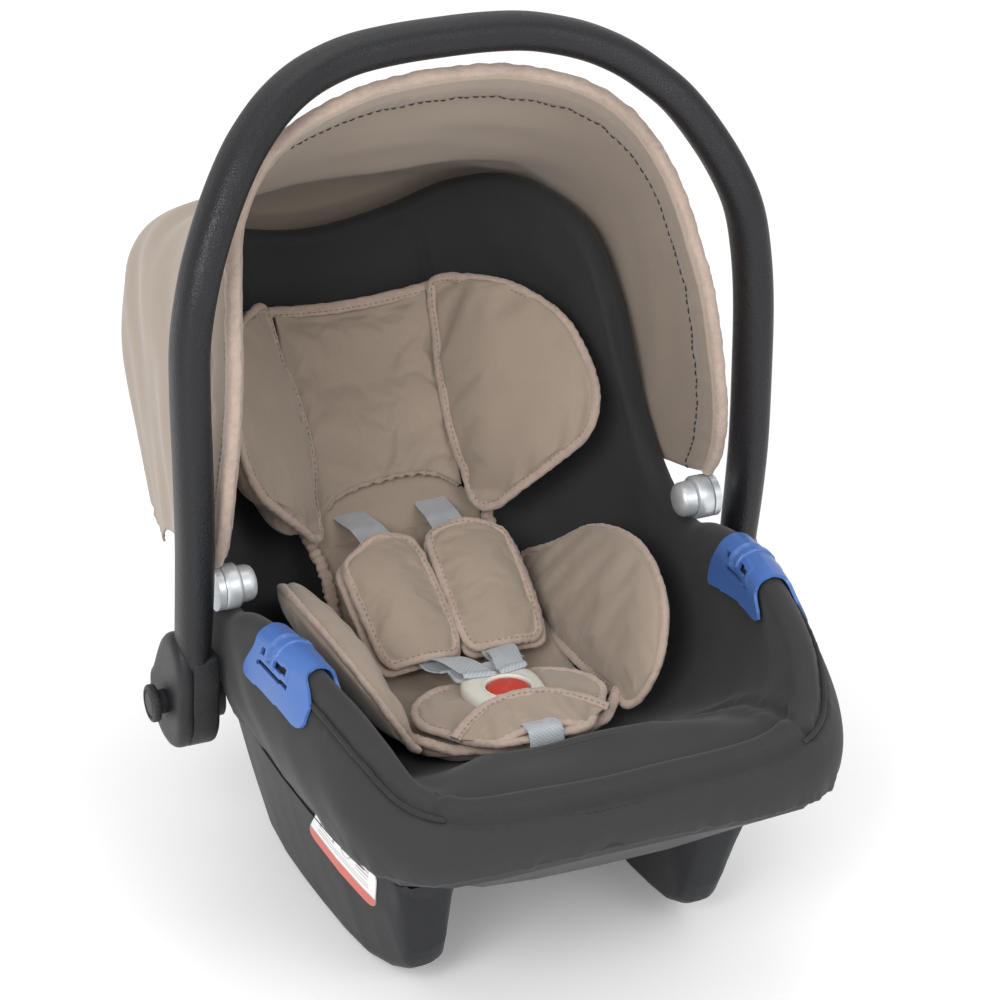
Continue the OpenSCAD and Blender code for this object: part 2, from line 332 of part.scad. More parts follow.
// ---------- small parts ----------
module shell_screws() color([0.5, 0.5, 0.52]) for (a = [-1, 1]) for (y = [-60, 45]) translate([a * 70, y, 0]) { translate([0, 0, 46]) cylinder(r = 5, h = 3, $fn = 32); }
function base_side(y, z) = let(n = len(BASE) - 1, k = max([for (i = [0 : n - 1]) BASE[i][0] <= y ? i : 0]), t = (y - BASE[k][0]) / (BASE[k + 1][0] - BASE[k][0]),
  r = BASE[k] * (1 - t) + BASE[k + 1] * t, zm = (r[2] + r[4]) / 2, xm = (r[1] + r[3]) / 2 + 3.5) z > zm ? xm + (r[1] - xm) * (z - zm) / (r[2] - zm) : (r[3] + 2.5) + (xm - r[3] - 2.5) * (z - r[4] - 6) / (zm - r[4] - 6);
module warning_label() color([0.9, 0.9, 0.9]) {
  G = [for (i = [0 : 6]) [for (j = [0 : 4]) let(u = i / 6, v = j / 4, lo = [-64, 87] * (1 - u) + [-152, 70] * u, hi = [-95, 119] * (1 - u) + [-166, 105] * u, p = lo * (1 - v) + hi * v) p]];
  slab([for (r = G) [for (p = r) [-base_side(p[0], p[1]) - 0.3, p[0], p[1]]]], [for (r = G) [for (p = r) [-base_side(p[0], p[1]) - 0.9, p[0], p[1]]]]);
}

at() shell();
at() rocker_base();
at() foam_liner();
at() seat_cover();
at() pivot_boss_left();
at() pivot_boss_right();
at() pivot_bolt_left();
at() pivot_bolt_right();
at() belt_guide_left();
at() belt_guide_right();
at() canopy_socket_left();
at() canopy_socket_right();
at() body_insert();
at() head_pillow();
at() shoulder_strap_left();
at() shoulder_strap_right();
at() shoulder_pad_left();
at() shoulder_pad_right();
at() crotch_pad();
at() crotch_strap();
at() buckle_housing();
at() buckle_button();
at() buckle_tongue_left();
at() buckle_tongue_right();
at() harness_yoke();
at() shell_screws();
at() warning_label();
at() handle_bow();
at() handle_hub_left();
at() handle_hub_right();
at() release_button_left();
at() release_button_right();
at() button_spring_left();
at() button_spring_right();
at() canopy_bow();
at() canopy_pin_left();
at() canopy_pin_right();
at() canopy_cap_left();
at() canopy_cap_right();
at() canopy_fabric();
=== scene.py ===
import bpy, bmesh, math
import numpy as np
from mathutils import Vector, Matrix


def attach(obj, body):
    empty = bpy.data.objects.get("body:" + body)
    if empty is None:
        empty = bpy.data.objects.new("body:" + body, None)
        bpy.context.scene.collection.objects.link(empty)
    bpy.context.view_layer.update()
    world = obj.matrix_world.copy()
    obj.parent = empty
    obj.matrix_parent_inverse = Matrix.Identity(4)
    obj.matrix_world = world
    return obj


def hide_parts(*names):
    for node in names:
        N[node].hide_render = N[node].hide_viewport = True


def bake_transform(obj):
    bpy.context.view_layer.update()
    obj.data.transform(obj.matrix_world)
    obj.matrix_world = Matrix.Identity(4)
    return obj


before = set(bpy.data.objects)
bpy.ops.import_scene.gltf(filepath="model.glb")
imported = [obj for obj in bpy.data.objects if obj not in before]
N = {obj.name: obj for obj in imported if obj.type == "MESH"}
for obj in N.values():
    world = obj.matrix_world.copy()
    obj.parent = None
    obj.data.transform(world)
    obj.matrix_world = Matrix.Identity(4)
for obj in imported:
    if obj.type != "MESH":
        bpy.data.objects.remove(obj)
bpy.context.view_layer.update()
Y0 = -5.25           # the model's global shift along Y, mm
PIV = (4.0, 163.0)
HUB = (-13.0, 248.0)

# ------------------------------------------------------------------ numeric helpers
def unit(v):
    v = np.asarray(v, float)
    n = np.linalg.norm(v, axis=-1, keepdims=True)
    return v / np.maximum(n, 1e-9)

def crom(a, b, c, d, t):
    return 0.5 * (2 * b + (c - a) * t + (2 * a - 5 * b + 4 * c - d) * t * t + (3 * b - a - 3 * c + d) * t ** 3)

def tab(T, s):
    T = np.asarray(T, float); n = len(T) - 1
    i = int(max(0, min(math.floor(s), n - 1))); t = s - i
    return crom(T[max(i - 1, 0)], T[i], T[i + 1], T[min(i + 2, n)], t)

def mxv(p):
    return np.array([-p[0], p[1], p[2]])

def tabm(T, s):
    n = len(T) - 1
    i = int(max(0, min(math.floor(s), n - 1))); t = s - i
    a = mxv(T[1]) if i == 0 else np.array(T[i - 1], float)
    d = mxv(T[n - 1]) if i + 2 > n else np.array(T[i + 2], float)
    return crom(a, np.array(T[i], float), np.array(T[i + 1], float), d, t)

def bez(a, b, c, d, t):
    u = 1 - t
    return a * u ** 3 + 3 * b * u * u * t + 3 * c * u * t * t + d * t ** 3

def spline(P, n, closed=False):
    """n points, evenly spaced, on a smooth curve through P."""
    P = np.asarray(P, float)
    m = len(P)
    if closed:
        Q = [crom(P[(i - 1) % m], P[i], P[(i + 1) % m], P[(i + 2) % m], t) for i in range(m) for t in np.linspace(0, 1, 17)[:-1]]
        Q.append(P[0])
    else:
        Q = [crom(P[max(i - 1, 0)], P[i], P[i + 1], P[min(i + 2, m - 1)], t) for i in range(m - 1) for t in np.linspace(0, 1, 17)[:-1]]
        Q.append(P[-1])
    Q = np.array(Q)
    L = np.concatenate([[0], np.cumsum(np.linalg.norm(np.diff(Q, axis=0), axis=1))])
    S = np.linspace(0, L[-1], n + 1)[:-1] if closed else np.linspace(0, L[-1], n)
    return np.stack([np.interp(S, L, Q[:, k]) for k in range(Q.shape[1])], 1)

def resample(CP, nu, nv):
    """control grid [rows][cols][3] to a smooth nu x nv grid."""
    rows = [spline(r, nv) for r in CP]
    A = np.array(rows)
    cols = [spline(A[:, j], nu) for j in range(nv)]
    return np.array(cols).transpose(1, 0, 2)

def gnormals(G):
    du = np.gradient(G, axis=0); dv = np.gradient(G, axis=1)
    return unit(np.cross(du, dv))

def wob(P, wave, seed, k=7):
    """smooth repeatable noise of about +-1 with that wavelength in mm."""
    rng = np.random.RandomState(seed)
    P = np.asarray(P, float); out = np.zeros(P.shape[:-1])
    for i in range(k):
        d = unit(rng.normal(size=3)); ph = rng.uniform(0, 6.28); f = rng.uniform(0.65, 1.5)
        out += np.sin((P @ d) * 6.2832 / wave * f + ph)
    return out / math.sqrt(k)

def seglines(P, line):
    """least distance of points P (n,3) to a polyline."""
    P = P.reshape(-1, 3); line = np.asarray(line, float); best = np.full(len(P), 1e9)
    for a, b in zip(line[:-1], line[1:]):
        d = b - a; L = max(d @ d, 1e-9)
        t = np.clip(((P - a) @ d) / L, 0, 1)
        best = np.minimum(best, np.linalg.norm(P - (a + t[:, None] * d), axis=1))
    return best

# ------------------------------------------------------------------ mesh helpers
def make(name, verts, faces, mats, body="seat", smooth=True, uv=None, sharp=None):
    me = bpy.data.meshes.new(name)
    v = np.asarray(verts, float).reshape(-1, 3).copy()
    v[:, 1] += Y0
    me.from_pydata((v * 0.001).tolist(), [], [tuple(int(i) for i in f) for f in faces])
    me.validate()
    if smooth:
        me.polygons.foreach_set("use_smooth", [True] * len(me.polygons))
    if uv is not None:
        lay = me.uv_layers.new(name="UVMap")
        uvv = np.asarray(uv, float)
        idx = np.zeros(len(me.loops), int); me.loops.foreach_get("vertex_index", idx)
        lay.data.foreach_set("uv", uvv[idx].astype(np.float32).ravel())
    ob = bpy.data.objects.new(name, me)
    bpy.context.scene.collection.objects.link(ob)
    for m in (mats if isinstance(mats, (list, tuple)) else [mats]):
        me.materials.append(m)
    if sharp:
        try:
            me.set_sharp_from_angle(angle=math.radians(sharp))
        except Exception:
            pass
    if body:
        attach(ob, body)
    return ob

def gridfaces(nu, nv, off=0, closed_u=False, closed_v=False, flip=False):
    i = np.arange(nu if closed_u else nu - 1); j = np.arange(nv if closed_v else nv - 1)
    I, J = np.meshgrid(i, j, indexing="ij"); I2 = (I + 1) % nu; J2 = (J + 1) % nv
    F = np.stack([I * nv + J, I2 * nv + J, I2 * nv + J2, I * nv + J2], -1).reshape(-1, 4) + off
    return F[:, ::-1] if flip else F

def frames(path, closed=False, up=None):
    P = np.asarray(path, float); n = len(P)
    T = unit((np.roll(P, -1, 0) - np.roll(P, 1, 0)) if closed else np.gradient(P, axis=0))
    if up is not None:
        U = np.tile(np.asarray(up, float), (n, 1)) if np.ndim(up) == 1 else np.asarray(up, float)
        A = unit(np.cross(T, U)); B = np.cross(A, T)
        return T, A, B
    a = unit(np.cross(T[0], [0.3, 0.2, 1.0])); A = [a]
    for k in range(1, n):
        a = a - T[k] * (a @ T[k]); a = a / max(np.linalg.norm(a), 1e-9); A.append(a)
    A = np.array(A)
    if closed:
        a = A[-1] - T[0] * (A[-1] @ T[0]); a = unit(a)
        ang = math.atan2(np.cross(a, A[0]) @ T[0], a @ A[0])
        for k in range(n):
            th = ang * k / n; c, s = math.cos(th), math.sin(th)
            A[k] = A[k] * c + np.cross(T[k], A[k]) * s
    return T, A, np.cross(A, T)

def tube(name, path, ra, rb=None, mats=None, body="seat", closed=False, up=None, sides=12, wobble=None, cap=True, power=1.0):
    """tube along path; ra across (towards A), rb along B (the up direction), each a number or a list."""
    P = np.asarray(path, float); n = len(P)
    rb = ra if rb is None else rb
    ra = np.broadcast_to(np.asarray(ra, float), (n,)); rb = np.broadcast_to(np.asarray(rb, float), (n,))
    T, A, B = frames(P, closed, up)
    th = np.arange(sides) * 2 * math.pi / sides
    c, s = np.cos(th), np.sin(th)
    c = np.sign(c) * np.abs(c) ** power; s = np.sign(s) * np.abs(s) ** power
    V = P[:, None] + A[:, None] * (c[None, :, None] * ra[:, None, None]) + B[:, None] * (s[None, :, None] * rb[:, None, None])
    if wobble is not None:
        V = V + (unit(V - P[:, None]) * wobble(V)[..., None])
    L = np.concatenate([[0], np.cumsum(np.linalg.norm(np.diff(P, axis=0), axis=1))])
    uv = np.stack([np.repeat(L[:, None], sides, 1), np.repeat((th / 6.2832 * 20)[None], n, 0)], -1).reshape(-1, 2) * 0.001
    F = gridfaces(n, sides, closed_u=closed, closed_v=True).tolist()
    V = V.reshape(-1, 3)
    if not closed and cap:
        V = np.concatenate([V, [P[0] - T[0] * ra[0] * 0.3, P[-1] + T[-1] * ra[-1] * 0.3]])
        uv = np.concatenate([uv, [[0, 0], [0, 0]]])
        k = n * sides
        F += [[k, (j + 1) % sides, j] for j in range(sides)]
        F += [[k + 1, (n - 1) * sides + j, (n - 1) * sides + (j + 1) % sides] for j in range(sides)]
    F = [f[::-1] for f in F]
    return make(name, V, F, mats, body, uv=uv)

def ribbon(name, path, widthdir, w, t, mats, body="seat", edge=0.35, nw=9, uvs=1.0, wave=None):
    """flat webbing: path of middle points, widthdir unit vectors, w wide and t thick, rounded edges (the edge argument
    is not used).
    """
    P = np.asarray(path, float); n = len(P)
    W = unit(np.broadcast_to(np.asarray(widthdir, float), P.shape)); T = unit(np.gradient(P, axis=0)); Nn = unit(np.cross(W, T))
    w = np.broadcast_to(np.asarray(w, float), (n,))
    prof = []
    for k in range(nw):
        x = -0.5 + k / (nw - 1); prof.append((x, 0.5 * (1 - abs(2 * x) ** 8) ** 0.5))
    loop = prof + [(x, -h) for x, h in prof[-2:0:-1]]
    m = len(loop)
    V = np.zeros((n, m, 3)); uv = np.zeros((n, m, 2))
    L = np.concatenate([[0], np.cumsum(np.linalg.norm(np.diff(P, axis=0), axis=1))])
    for j, (x, h) in enumerate(loop):
        V[:, j] = P + W * (x * w)[:, None] + Nn * (h * t)
        uv[:, j, 0] = L * 0.001; uv[:, j, 1] = x * w * 0.001
    if wave is not None:
        V += Nn[:, None] * wave(V)[..., None]
    F = gridfaces(n, m, closed_v=True).tolist()
    F += [list(range(m))[::-1], [(n - 1) * m + j for j in range(m)]]
    return make(name, V.reshape(-1, 3), F, mats, body, uv=uv.reshape(-1, 2), sharp=50)

def stitches(name, path, nrm, mats, body="seat", length=3.2, gap=1.8, r=0.42, lift=0.25, closed=False):
    """a row of thread stitches along a path, as one mesh."""
    P = np.asarray(path, float)
    if closed:
        P = np.vstack([P, P[:1]]); nrm = np.vstack([nrm, nrm[:1]])
    L = np.concatenate([[0], np.cumsum(np.linalg.norm(np.diff(P, axis=0), axis=1))])
    cnt = int(L[-1] / (length + gap))
    if cnt < 1:
        return None
    V, F = [], []
    for k in range(cnt):
        a = k * L[-1] / cnt; ss = np.array([0, 0.12, 0.5, 0.88, 1]) * length + a
        pts = np.stack([np.interp(ss, L, P[:, c]) for c in range(3)], 1); nn = unit(np.stack([np.interp(ss, L, nrm[:, c]) for c in range(3)], 1))
        t = unit(pts[-1] - pts[0]); side = unit(np.cross(t, nn))
        off = np.array([-0.5, 0.5, 1, 0.5, -0.5]) * r * 0.9 + lift; rr = np.array([0.25, 0.9, 1, 0.9, 0.25]) * r
        base = len(V)
        for q in range(5):
            for h in range(6):
                th = h * math.pi / 3
                V.append(pts[q] + nn[q] * (off[q] + rr[q] * math.sin(th)) + side[q] * rr[q] * 1.15 * math.cos(th))
        for q in range(4):
            for h in range(6):
                F.append([base + q * 6 + h, base + q * 6 + (h + 1) % 6, base + (q + 1) * 6 + (h + 1) % 6, base + (q + 1) * 6 + h])
    return make(name, V, F, mats, body)

def lathe(name, prof, origin, axis_x, mats, body, seg=72, sharp=35):
    """turned part about a line along X through origin; prof is [(x, r)...], axis_x is 1 or -1."""
    prof = np.asarray(prof, float); th = np.arange(seg) * 2 * math.pi / seg
    V = np.stack([np.repeat((axis_x * prof[:, 0])[:, None], seg, 1), origin[0] + prof[:, 1][:, None] * np.cos(th), origin[1] + prof[:, 1][:, None] * np.sin(th)], -1)
    F = gridfaces(len(prof), seg, closed_v=True, flip=axis_x > 0).tolist()
    return make(name, V.reshape(-1, 3), F, mats, body, sharp=sharp)

# ------------------------------------------------------------------ materials
def newmat(name):
    m = bpy.data.materials.new(name); m.use_nodes = True
    nt = m.node_tree; nt.nodes.clear()
    out = nt.nodes.new("ShaderNodeOutputMaterial"); b = nt.nodes.new("ShaderNodeBsdfPrincipled")
    nt.links.new(b.outputs[0], out.inputs[0])
    return m, nt, b

def noise(nt, scale, detail=4, rough=0.55, coord="Object", dist=0.0, stretch=None):
    tc = nt.nodes.new("ShaderNodeTexCoord"); n = nt.nodes.new("ShaderNodeTexNoise")
    n.inputs["Scale"].default_value = scale; n.inputs["Detail"].default_value = detail; n.inputs["Roughness"].default_value = rough; n.inputs["Distortion"].default_value = dist
    src = tc.outputs[coord]
    if stretch:
        mp = nt.nodes.new("ShaderNodeMapping"); mp.inputs["Scale"].default_value = stretch
        nt.links.new(src, mp.inputs[0]); src = mp.outputs[0]
    nt.links.new(src, n.inputs["Vector"])
    return n.outputs["Fac"]

def ramp(nt, fac, stops):
    r = nt.nodes.new("ShaderNodeValToRGB"); e = r.color_ramp.elements
    while len(e) < len(stops):
        e.new(0.5)
    for i, (p, c) in enumerate(stops):
        e[i].position = p; e[i].color = (*c, 1) if len(c) == 3 else c
    nt.links.new(fac, r.inputs[0])
    return r.outputs[0]

def maprange(nt, fac, a, b, lo=0.0, hi=1.0):
    m = nt.nodes.new("ShaderNodeMapRange")
    m.inputs["From Min"].default_value = a; m.inputs["From Max"].default_value = b; m.inputs["To Min"].default_value = lo; m.inputs["To Max"].default_value = hi
    nt.links.new(fac, m.inputs["Value"])
    return m.outputs[0]

def mathn(nt, op, a, b=None):
    m = nt.nodes.new("ShaderNodeMath"); m.operation = op
    for i, x in enumerate([a, b]):
        if x is None: continue
        if isinstance(x, (int, float)): m.inputs[i].default_value = x
        else: nt.links.new(x, m.inputs[i])
    return m.outputs[0]

def bump(nt, h, strength, dist, prev=None):
    b = nt.nodes.new("ShaderNodeBump"); b.inputs["Strength"].default_value = strength; b.inputs["Distance"].default_value = dist
    nt.links.new(h, b.inputs["Height"])
    if prev is not None:
        nt.links.new(prev, b.inputs["Normal"])
    return b.outputs[0]

def wave(nt, scale, direction, coord="UV", profile="SIN", dist=0.0):
    tc = nt.nodes.new("ShaderNodeTexCoord"); w = nt.nodes.new("ShaderNodeTexWave")
    w.wave_type = "BANDS"; w.bands_direction = direction; w.wave_profile = profile
    w.inputs["Scale"].default_value = scale; w.inputs["Distortion"].default_value = dist; w.inputs["Detail"].default_value = 1.0; w.inputs["Detail Scale"].default_value = 2.0
    nt.links.new(tc.outputs[coord], w.inputs["Vector"])
    return w.outputs["Fac"]

def tone(c, k):
    return tuple(max(0, min(1, x * k)) for x in c)

def fabric(name, col, var=0.14, rough=0.9, sheen=0.25, grain=1100, gb=0.25, soft=28, fuzz=0.0):
    m, nt, b = newmat(name)
    big = noise(nt, soft, 5, 0.6); fine = noise(nt, grain, 3, 0.7)
    weft = noise(nt, grain * 0.8, 2, 0.5, stretch=(1, 0.25, 1)); warp = noise(nt, grain * 0.8, 2, 0.5, stretch=(0.25, 1, 0.4))
    mix = mathn(nt, "ADD", mathn(nt, "MULTIPLY", big, 0.55), mathn(nt, "MULTIPLY", mathn(nt, "ADD", weft, warp), 0.225))
    cr = ramp(nt, mix, [(0.3, tone(col, 1 - var)), (0.5, col), (0.7, tone(col, 1 + var))])
    nt.links.new(cr, b.inputs["Base Color"])
    nt.links.new(maprange(nt, big, 0.3, 0.7, rough - 0.06, rough + 0.05), b.inputs["Roughness"])
    hb = mathn(nt, "ADD", weft, mathn(nt, "ADD", warp, mathn(nt, "MULTIPLY", fine, 0.6)))
    n1 = bump(nt, noise(nt, 130, 4, 0.5), 0.12, 0.0012)
    nt.links.new(bump(nt, hb, gb, 0.0005, n1), b.inputs["Normal"])
    b.inputs["Sheen Weight"].default_value = sheen; b.inputs["Sheen Roughness"].default_value = 0.5
    b.inputs["Specular IOR Level"].default_value = 0.25
    return m

def plastic(name, col, rough=0.45, var=0.08, grain=700, gb=0.08, edge=0.25, coat=0.0, spec=0.5, mott=18, leather=0):
    m, nt, b = newmat(name)
    big = noise(nt, mott, 5, 0.6); fine = noise(nt, grain, 3, 0.6)
    geo = nt.nodes.new("ShaderNodeNewGeometry")
    # convex edges (Pointiness) are mixed towards a lighter tone: a painted edge highlight, its strength set by edge
    edge_highlight = maprange(nt, geo.outputs["Pointiness"], 0.52, 0.60, 0.0, edge)
    base = ramp(nt, big, [(0.3, tone(col, 1 - var)), (0.7, tone(col, 1 + var))])
    mixn = nt.nodes.new("ShaderNodeMix"); mixn.data_type = "RGBA"
    nt.links.new(edge_highlight, mixn.inputs[0]); nt.links.new(base, mixn.inputs[6]); mixn.inputs[7].default_value = (*tone(tuple(x + 0.05 for x in col), 1.35), 1)
    nt.links.new(mixn.outputs[2], b.inputs["Base Color"])
    nt.links.new(maprange(nt, mathn(nt, "ADD", mathn(nt, "MULTIPLY", big, 0.6), mathn(nt, "MULTIPLY", fine, 0.4)), 0.3, 0.7, rough - 0.07, rough + 0.07), b.inputs["Roughness"])
    prev = None
    if leather:
        tc = nt.nodes.new("ShaderNodeTexCoord"); vo = nt.nodes.new("ShaderNodeTexVoronoi"); vo.feature = "DISTANCE_TO_EDGE"; vo.inputs["Scale"].default_value = leather
        nt.links.new(tc.outputs["Object"], vo.inputs["Vector"])
        prev = bump(nt, maprange(nt, vo.outputs["Distance"], 0.0, 0.25), 0.35, 0.0004)
        prev = bump(nt, noise(nt, leather * 0.35, 4, 0.6), 0.2, 0.0012, prev)
    nt.links.new(bump(nt, fine, gb, 0.0004, prev), b.inputs["Normal"])
    b.inputs["Coat Weight"].default_value = coat; b.inputs["Coat Roughness"].default_value = 0.2
    b.inputs["Specular IOR Level"].default_value = spec
    return m

def metal(name, col, rough=0.3, metallic=1.0, brush=True):
    m, nt, b = newmat(name)
    big = noise(nt, 40, 4, 0.6); fine = noise(nt, 900, 3, 0.6, stretch=(0.08, 1, 1) if brush else None)
    nt.links.new(ramp(nt, big, [(0.3, tone(col, 0.93)), (0.7, tone(col, 1.05))]), b.inputs["Base Color"])
    nt.links.new(maprange(nt, fine, 0.3, 0.7, rough - 0.06, rough + 0.08), b.inputs["Roughness"])
    nt.links.new(bump(nt, fine, 0.06, 0.0003), b.inputs["Normal"])
    b.inputs["Metallic"].default_value = metallic
    return m

def webbing(name, col):
    m, nt, b = newmat(name)
    rib = wave(nt, 290, "X"); tw = wave(nt, 210, "DIAGONAL"); big = noise(nt, 60, 4, 0.6)
    h = mathn(nt, "ADD", mathn(nt, "MULTIPLY", rib, 0.6), mathn(nt, "MULTIPLY", tw, 0.5))
    mix = mathn(nt, "ADD", mathn(nt, "MULTIPLY", h, 0.5), mathn(nt, "MULTIPLY", big, 0.5))
    nt.links.new(ramp(nt, mix, [(0.25, tone(col, 0.78)), (0.55, col), (0.8, tone(col, 1.22))]), b.inputs["Base Color"])
    nt.links.new(maprange(nt, big, 0.3, 0.7, 0.5, 0.68), b.inputs["Roughness"])
    nt.links.new(bump(nt, h, 0.5, 0.0005), b.inputs["Normal"])
    b.inputs["Sheen Weight"].default_value = 0.2; b.inputs["Specular IOR Level"].default_value = 0.45
    return m

TAUPE = (0.335, 0.270, 0.215)
BIND = (0.425, 0.330, 0.275)
M = {
    "cover": fabric("cover_fabric", (0.033, 0.033, 0.0335), var=0.12, rough=0.88, sheen=0.10, grain=1300, gb=0.2),
    "cover_hem": fabric("cover_hem_fabric", (0.028, 0.028, 0.029), var=0.2, rough=0.9, sheen=0.10, grain=900, gb=0.5),
    "taupe": fabric("taupe_fabric", TAUPE, var=0.07, rough=0.82, sheen=0.30, grain=1200, gb=0.22),
    "canopy": fabric("canopy_cloth", (0.335, 0.272, 0.220), var=0.05, rough=0.85, sheen=0.22, grain=1400, gb=0.18),
    "bind": fabric("binding_tape", BIND, var=0.20, rough=0.92, sheen=0.35, grain=620, gb=0.9),
    "thread": fabric("taupe_thread", (0.30, 0.235, 0.185), var=0.2, rough=0.7, sheen=0.1, grain=2500, gb=0.3),
    # dark thread: real on the black cover's seams; on the taupe canopy it is a painted shadow line
    "thread_dark_and_shadow": fabric("dark_thread_and_painted_shadow", (0.03, 0.03, 0.032), var=0.2, rough=0.7, sheen=0.1, grain=2500, gb=0.3),
    "webbing": webbing("webbing", (0.42, 0.45, 0.49)),
    "handle": plastic("handle_plastic", (0.0085, 0.009, 0.0105), rough=0.40, leather=420, gb=0.05, edge=0.05, spec=0.38),
    "housing": plastic("housing_plastic", (0.010, 0.0105, 0.012), spec=0.35, rough=0.45, leather=520, gb=0.06, edge=0.15),
    "shell": plastic("shell_plastic", (0.022, 0.023, 0.025), rough=0.55, grain=900, gb=0.1, edge=0.15),
    "base": plastic("base_plastic", (0.013, 0.0138, 0.016), spec=0.3, rough=0.50, grain=900, gb=0.12, edge=0.2),
    "bow": plastic("bow_plastic", (0.03, 0.03, 0.032), rough=0.5, edge=0.1),
    "foam": plastic("foam", (0.85, 0.85, 0.84), rough=0.8, grain=260, gb=0.4, edge=0.0),
    "silver": metal("silver", (0.66, 0.69, 0.72), rough=0.34, metallic=0.55, brush=False),
    "steel": metal("steel", (0.6, 0.6, 0.62), rough=0.28),
    "blue": plastic("guide_blue", (0.062, 0.150, 0.43), rough=0.36, grain=500, gb=0.05, edge=0.30, var=0.04),
    "ivory": plastic("buckle_ivory", (0.68, 0.67, 0.60), rough=0.38, grain=400, gb=0.03, edge=0.12, var=0.03),
    "red": plastic("button_red", (0.55, 0.055, 0.038), rough=0.36, grain=400, gb=0.03, edge=0.2, var=0.05),
    "tongue": plastic("tongue", (0.55, 0.58, 0.62), rough=0.4, grain=400, gb=0.03, edge=0.2, var=0.03),
    "label_white": plastic("label", (0.82, 0.82, 0.81), rough=0.42, grain=500, gb=0.05, edge=0.0, var=0.03),
    "label_red": plastic("label_red", (0.60, 0.13, 0.10), rough=0.42, grain=500, gb=0.05, edge=0.0, var=0.05),
    "label_grey": plastic("label_grey", (0.42, 0.42, 0.43), rough=0.45, grain=500, gb=0.05, edge=0.0, var=0.05),
}

# ------------------------------------------------------------------ the bucket's shape (as in the CAD)
RIM = [[0,-258,192],[60,-258,193],[106,-256,197],[134,-244,207],[149,-214,227],[158,-175,241],[165,-125,248],[168,-80,247],[169,-45,241],[169,-13,230],
       [169,20,236],[168,50,258],[163,78,310],[158,98,362],[152,125,400],[143,165,416],[128,212,418],[98,246,406],[52,258,388],[0,261,380]]
OUT = [[25,168,22,147],[25,168,22,147],[25,170,22,145],[26,172,21,142],[27,182,18,141],[23,188,13,146],[18,192,8,152],[16,195,4,153],[12,195,3,151],[12,190,3,150],
       [12,195,3,152],[12,208,3,160],[11,245,4,185],[11,290,5,225],[12,335,7,270],[12,365,9,315],[13,382,10,345],[13,378,11,350],[13,364,11,340],[13,358,11,335]]
FLOOR = [[0,-190,180],[35,-188,180],[60,-176,176],[72,-152,157],[77,-125,140],[79,-98,130],[80,-68,124],[80,-38,120],[80,-8,118],[80,20,117],
         [80,48,119],[80,72,128],[80,95,147],[80,118,174],[79,145,213],[76,172,253],[70,198,292],[54,220,325],[28,232,343],[0,236,349]]
STRAIGHT = [[x] for x in [1,1,0.85,0.5,0.2,0,0,0,0,0,0,0,0,0,0,0.1,0.4,0.8,1,1]]
LAST = len(RIM) - 1
RW = 9.5

def outw(s):
    e = 0.05
    a = mxv(tabm(RIM, e)) if s < e else tabm(RIM, s - e)
    b = mxv(tabm(RIM, LAST - e)) if s > LAST - e else tabm(RIM, s + e)
    d = b - a
    return unit(np.array([d[1], -d[0], 0.0]))

def upn(s):
    if s < 1.3: return np.array([0, 0, 1.0])
    a = tabm(FLOOR, max(s - 0.3, 0)); b = tabm(FLOOR, min(s + 0.3, LAST)); d = unit(np.array([0, b[1] - a[1], b[2] - a[2]]))
    return np.array([0, -d[2], d[1]])

def inside_pts(s, us, off=0.0):
    r = tabm(RIM, s); n = outw(s); f = tabm(FLOOR, s); nf = upn(s); k = float(tab(STRAIGHT, s)[0])
    ri = r - n * (RW - off) - np.array([0, 0, 0.9 * RW]); hgt = ri[2] - f[2]
    f2 = f - nf * off; sw = unit(np.array([n[0], n[1] * 0.3, 0])); Z = np.array([0, 0, 1.0])
    p1 = (ri - Z * 0.55 * hgt) * (1 - k) + (ri + (f2 - ri) * 0.4 + Z * ((0.35 if s < 6 else 0) * hgt)) * k
    p2 = (f2 + sw * 0.55 * max(ri[0] - f[0], 10)) * (1 - k) + (f2 + (ri - f2) * 0.35 + Z * ((0.22 if s < 6 else 0) * hgt)) * k
    return [bez(ri, p1, p2, f2, u) for u in us]

def outside_pts(s, off=0.0):
    """from the hem up over the rim: eight points"""
    r = tabm(RIM, s); n = outw(s); o = tab(OUT, s); w = RW - off; Z = np.array([0, 0, 1.0])
    return [r + n * (o[2] - off) + Z * (o[3] - r[2]), r + n * ((o[2] + o[0]) / 2 + 2 - off) + Z * ((o[3] + o[1]) / 2 - r[2]),
            r + n * (o[0] - off) + Z * (o[1] - r[2]), r + n * ((o[0] * 0.62 + RW * 0.38) + 1 - off) + Z * ((o[1] * 0.45 + (r[2] - RW) * 0.55) - r[2]),
            r + n * w - Z * 0.9 * RW, r + n * w * 0.72 + Z * (-0.3 * RW - off * 0.7), r - Z * off, r - n * w * 0.72 + Z * (-0.3 * RW - off * 0.7)]

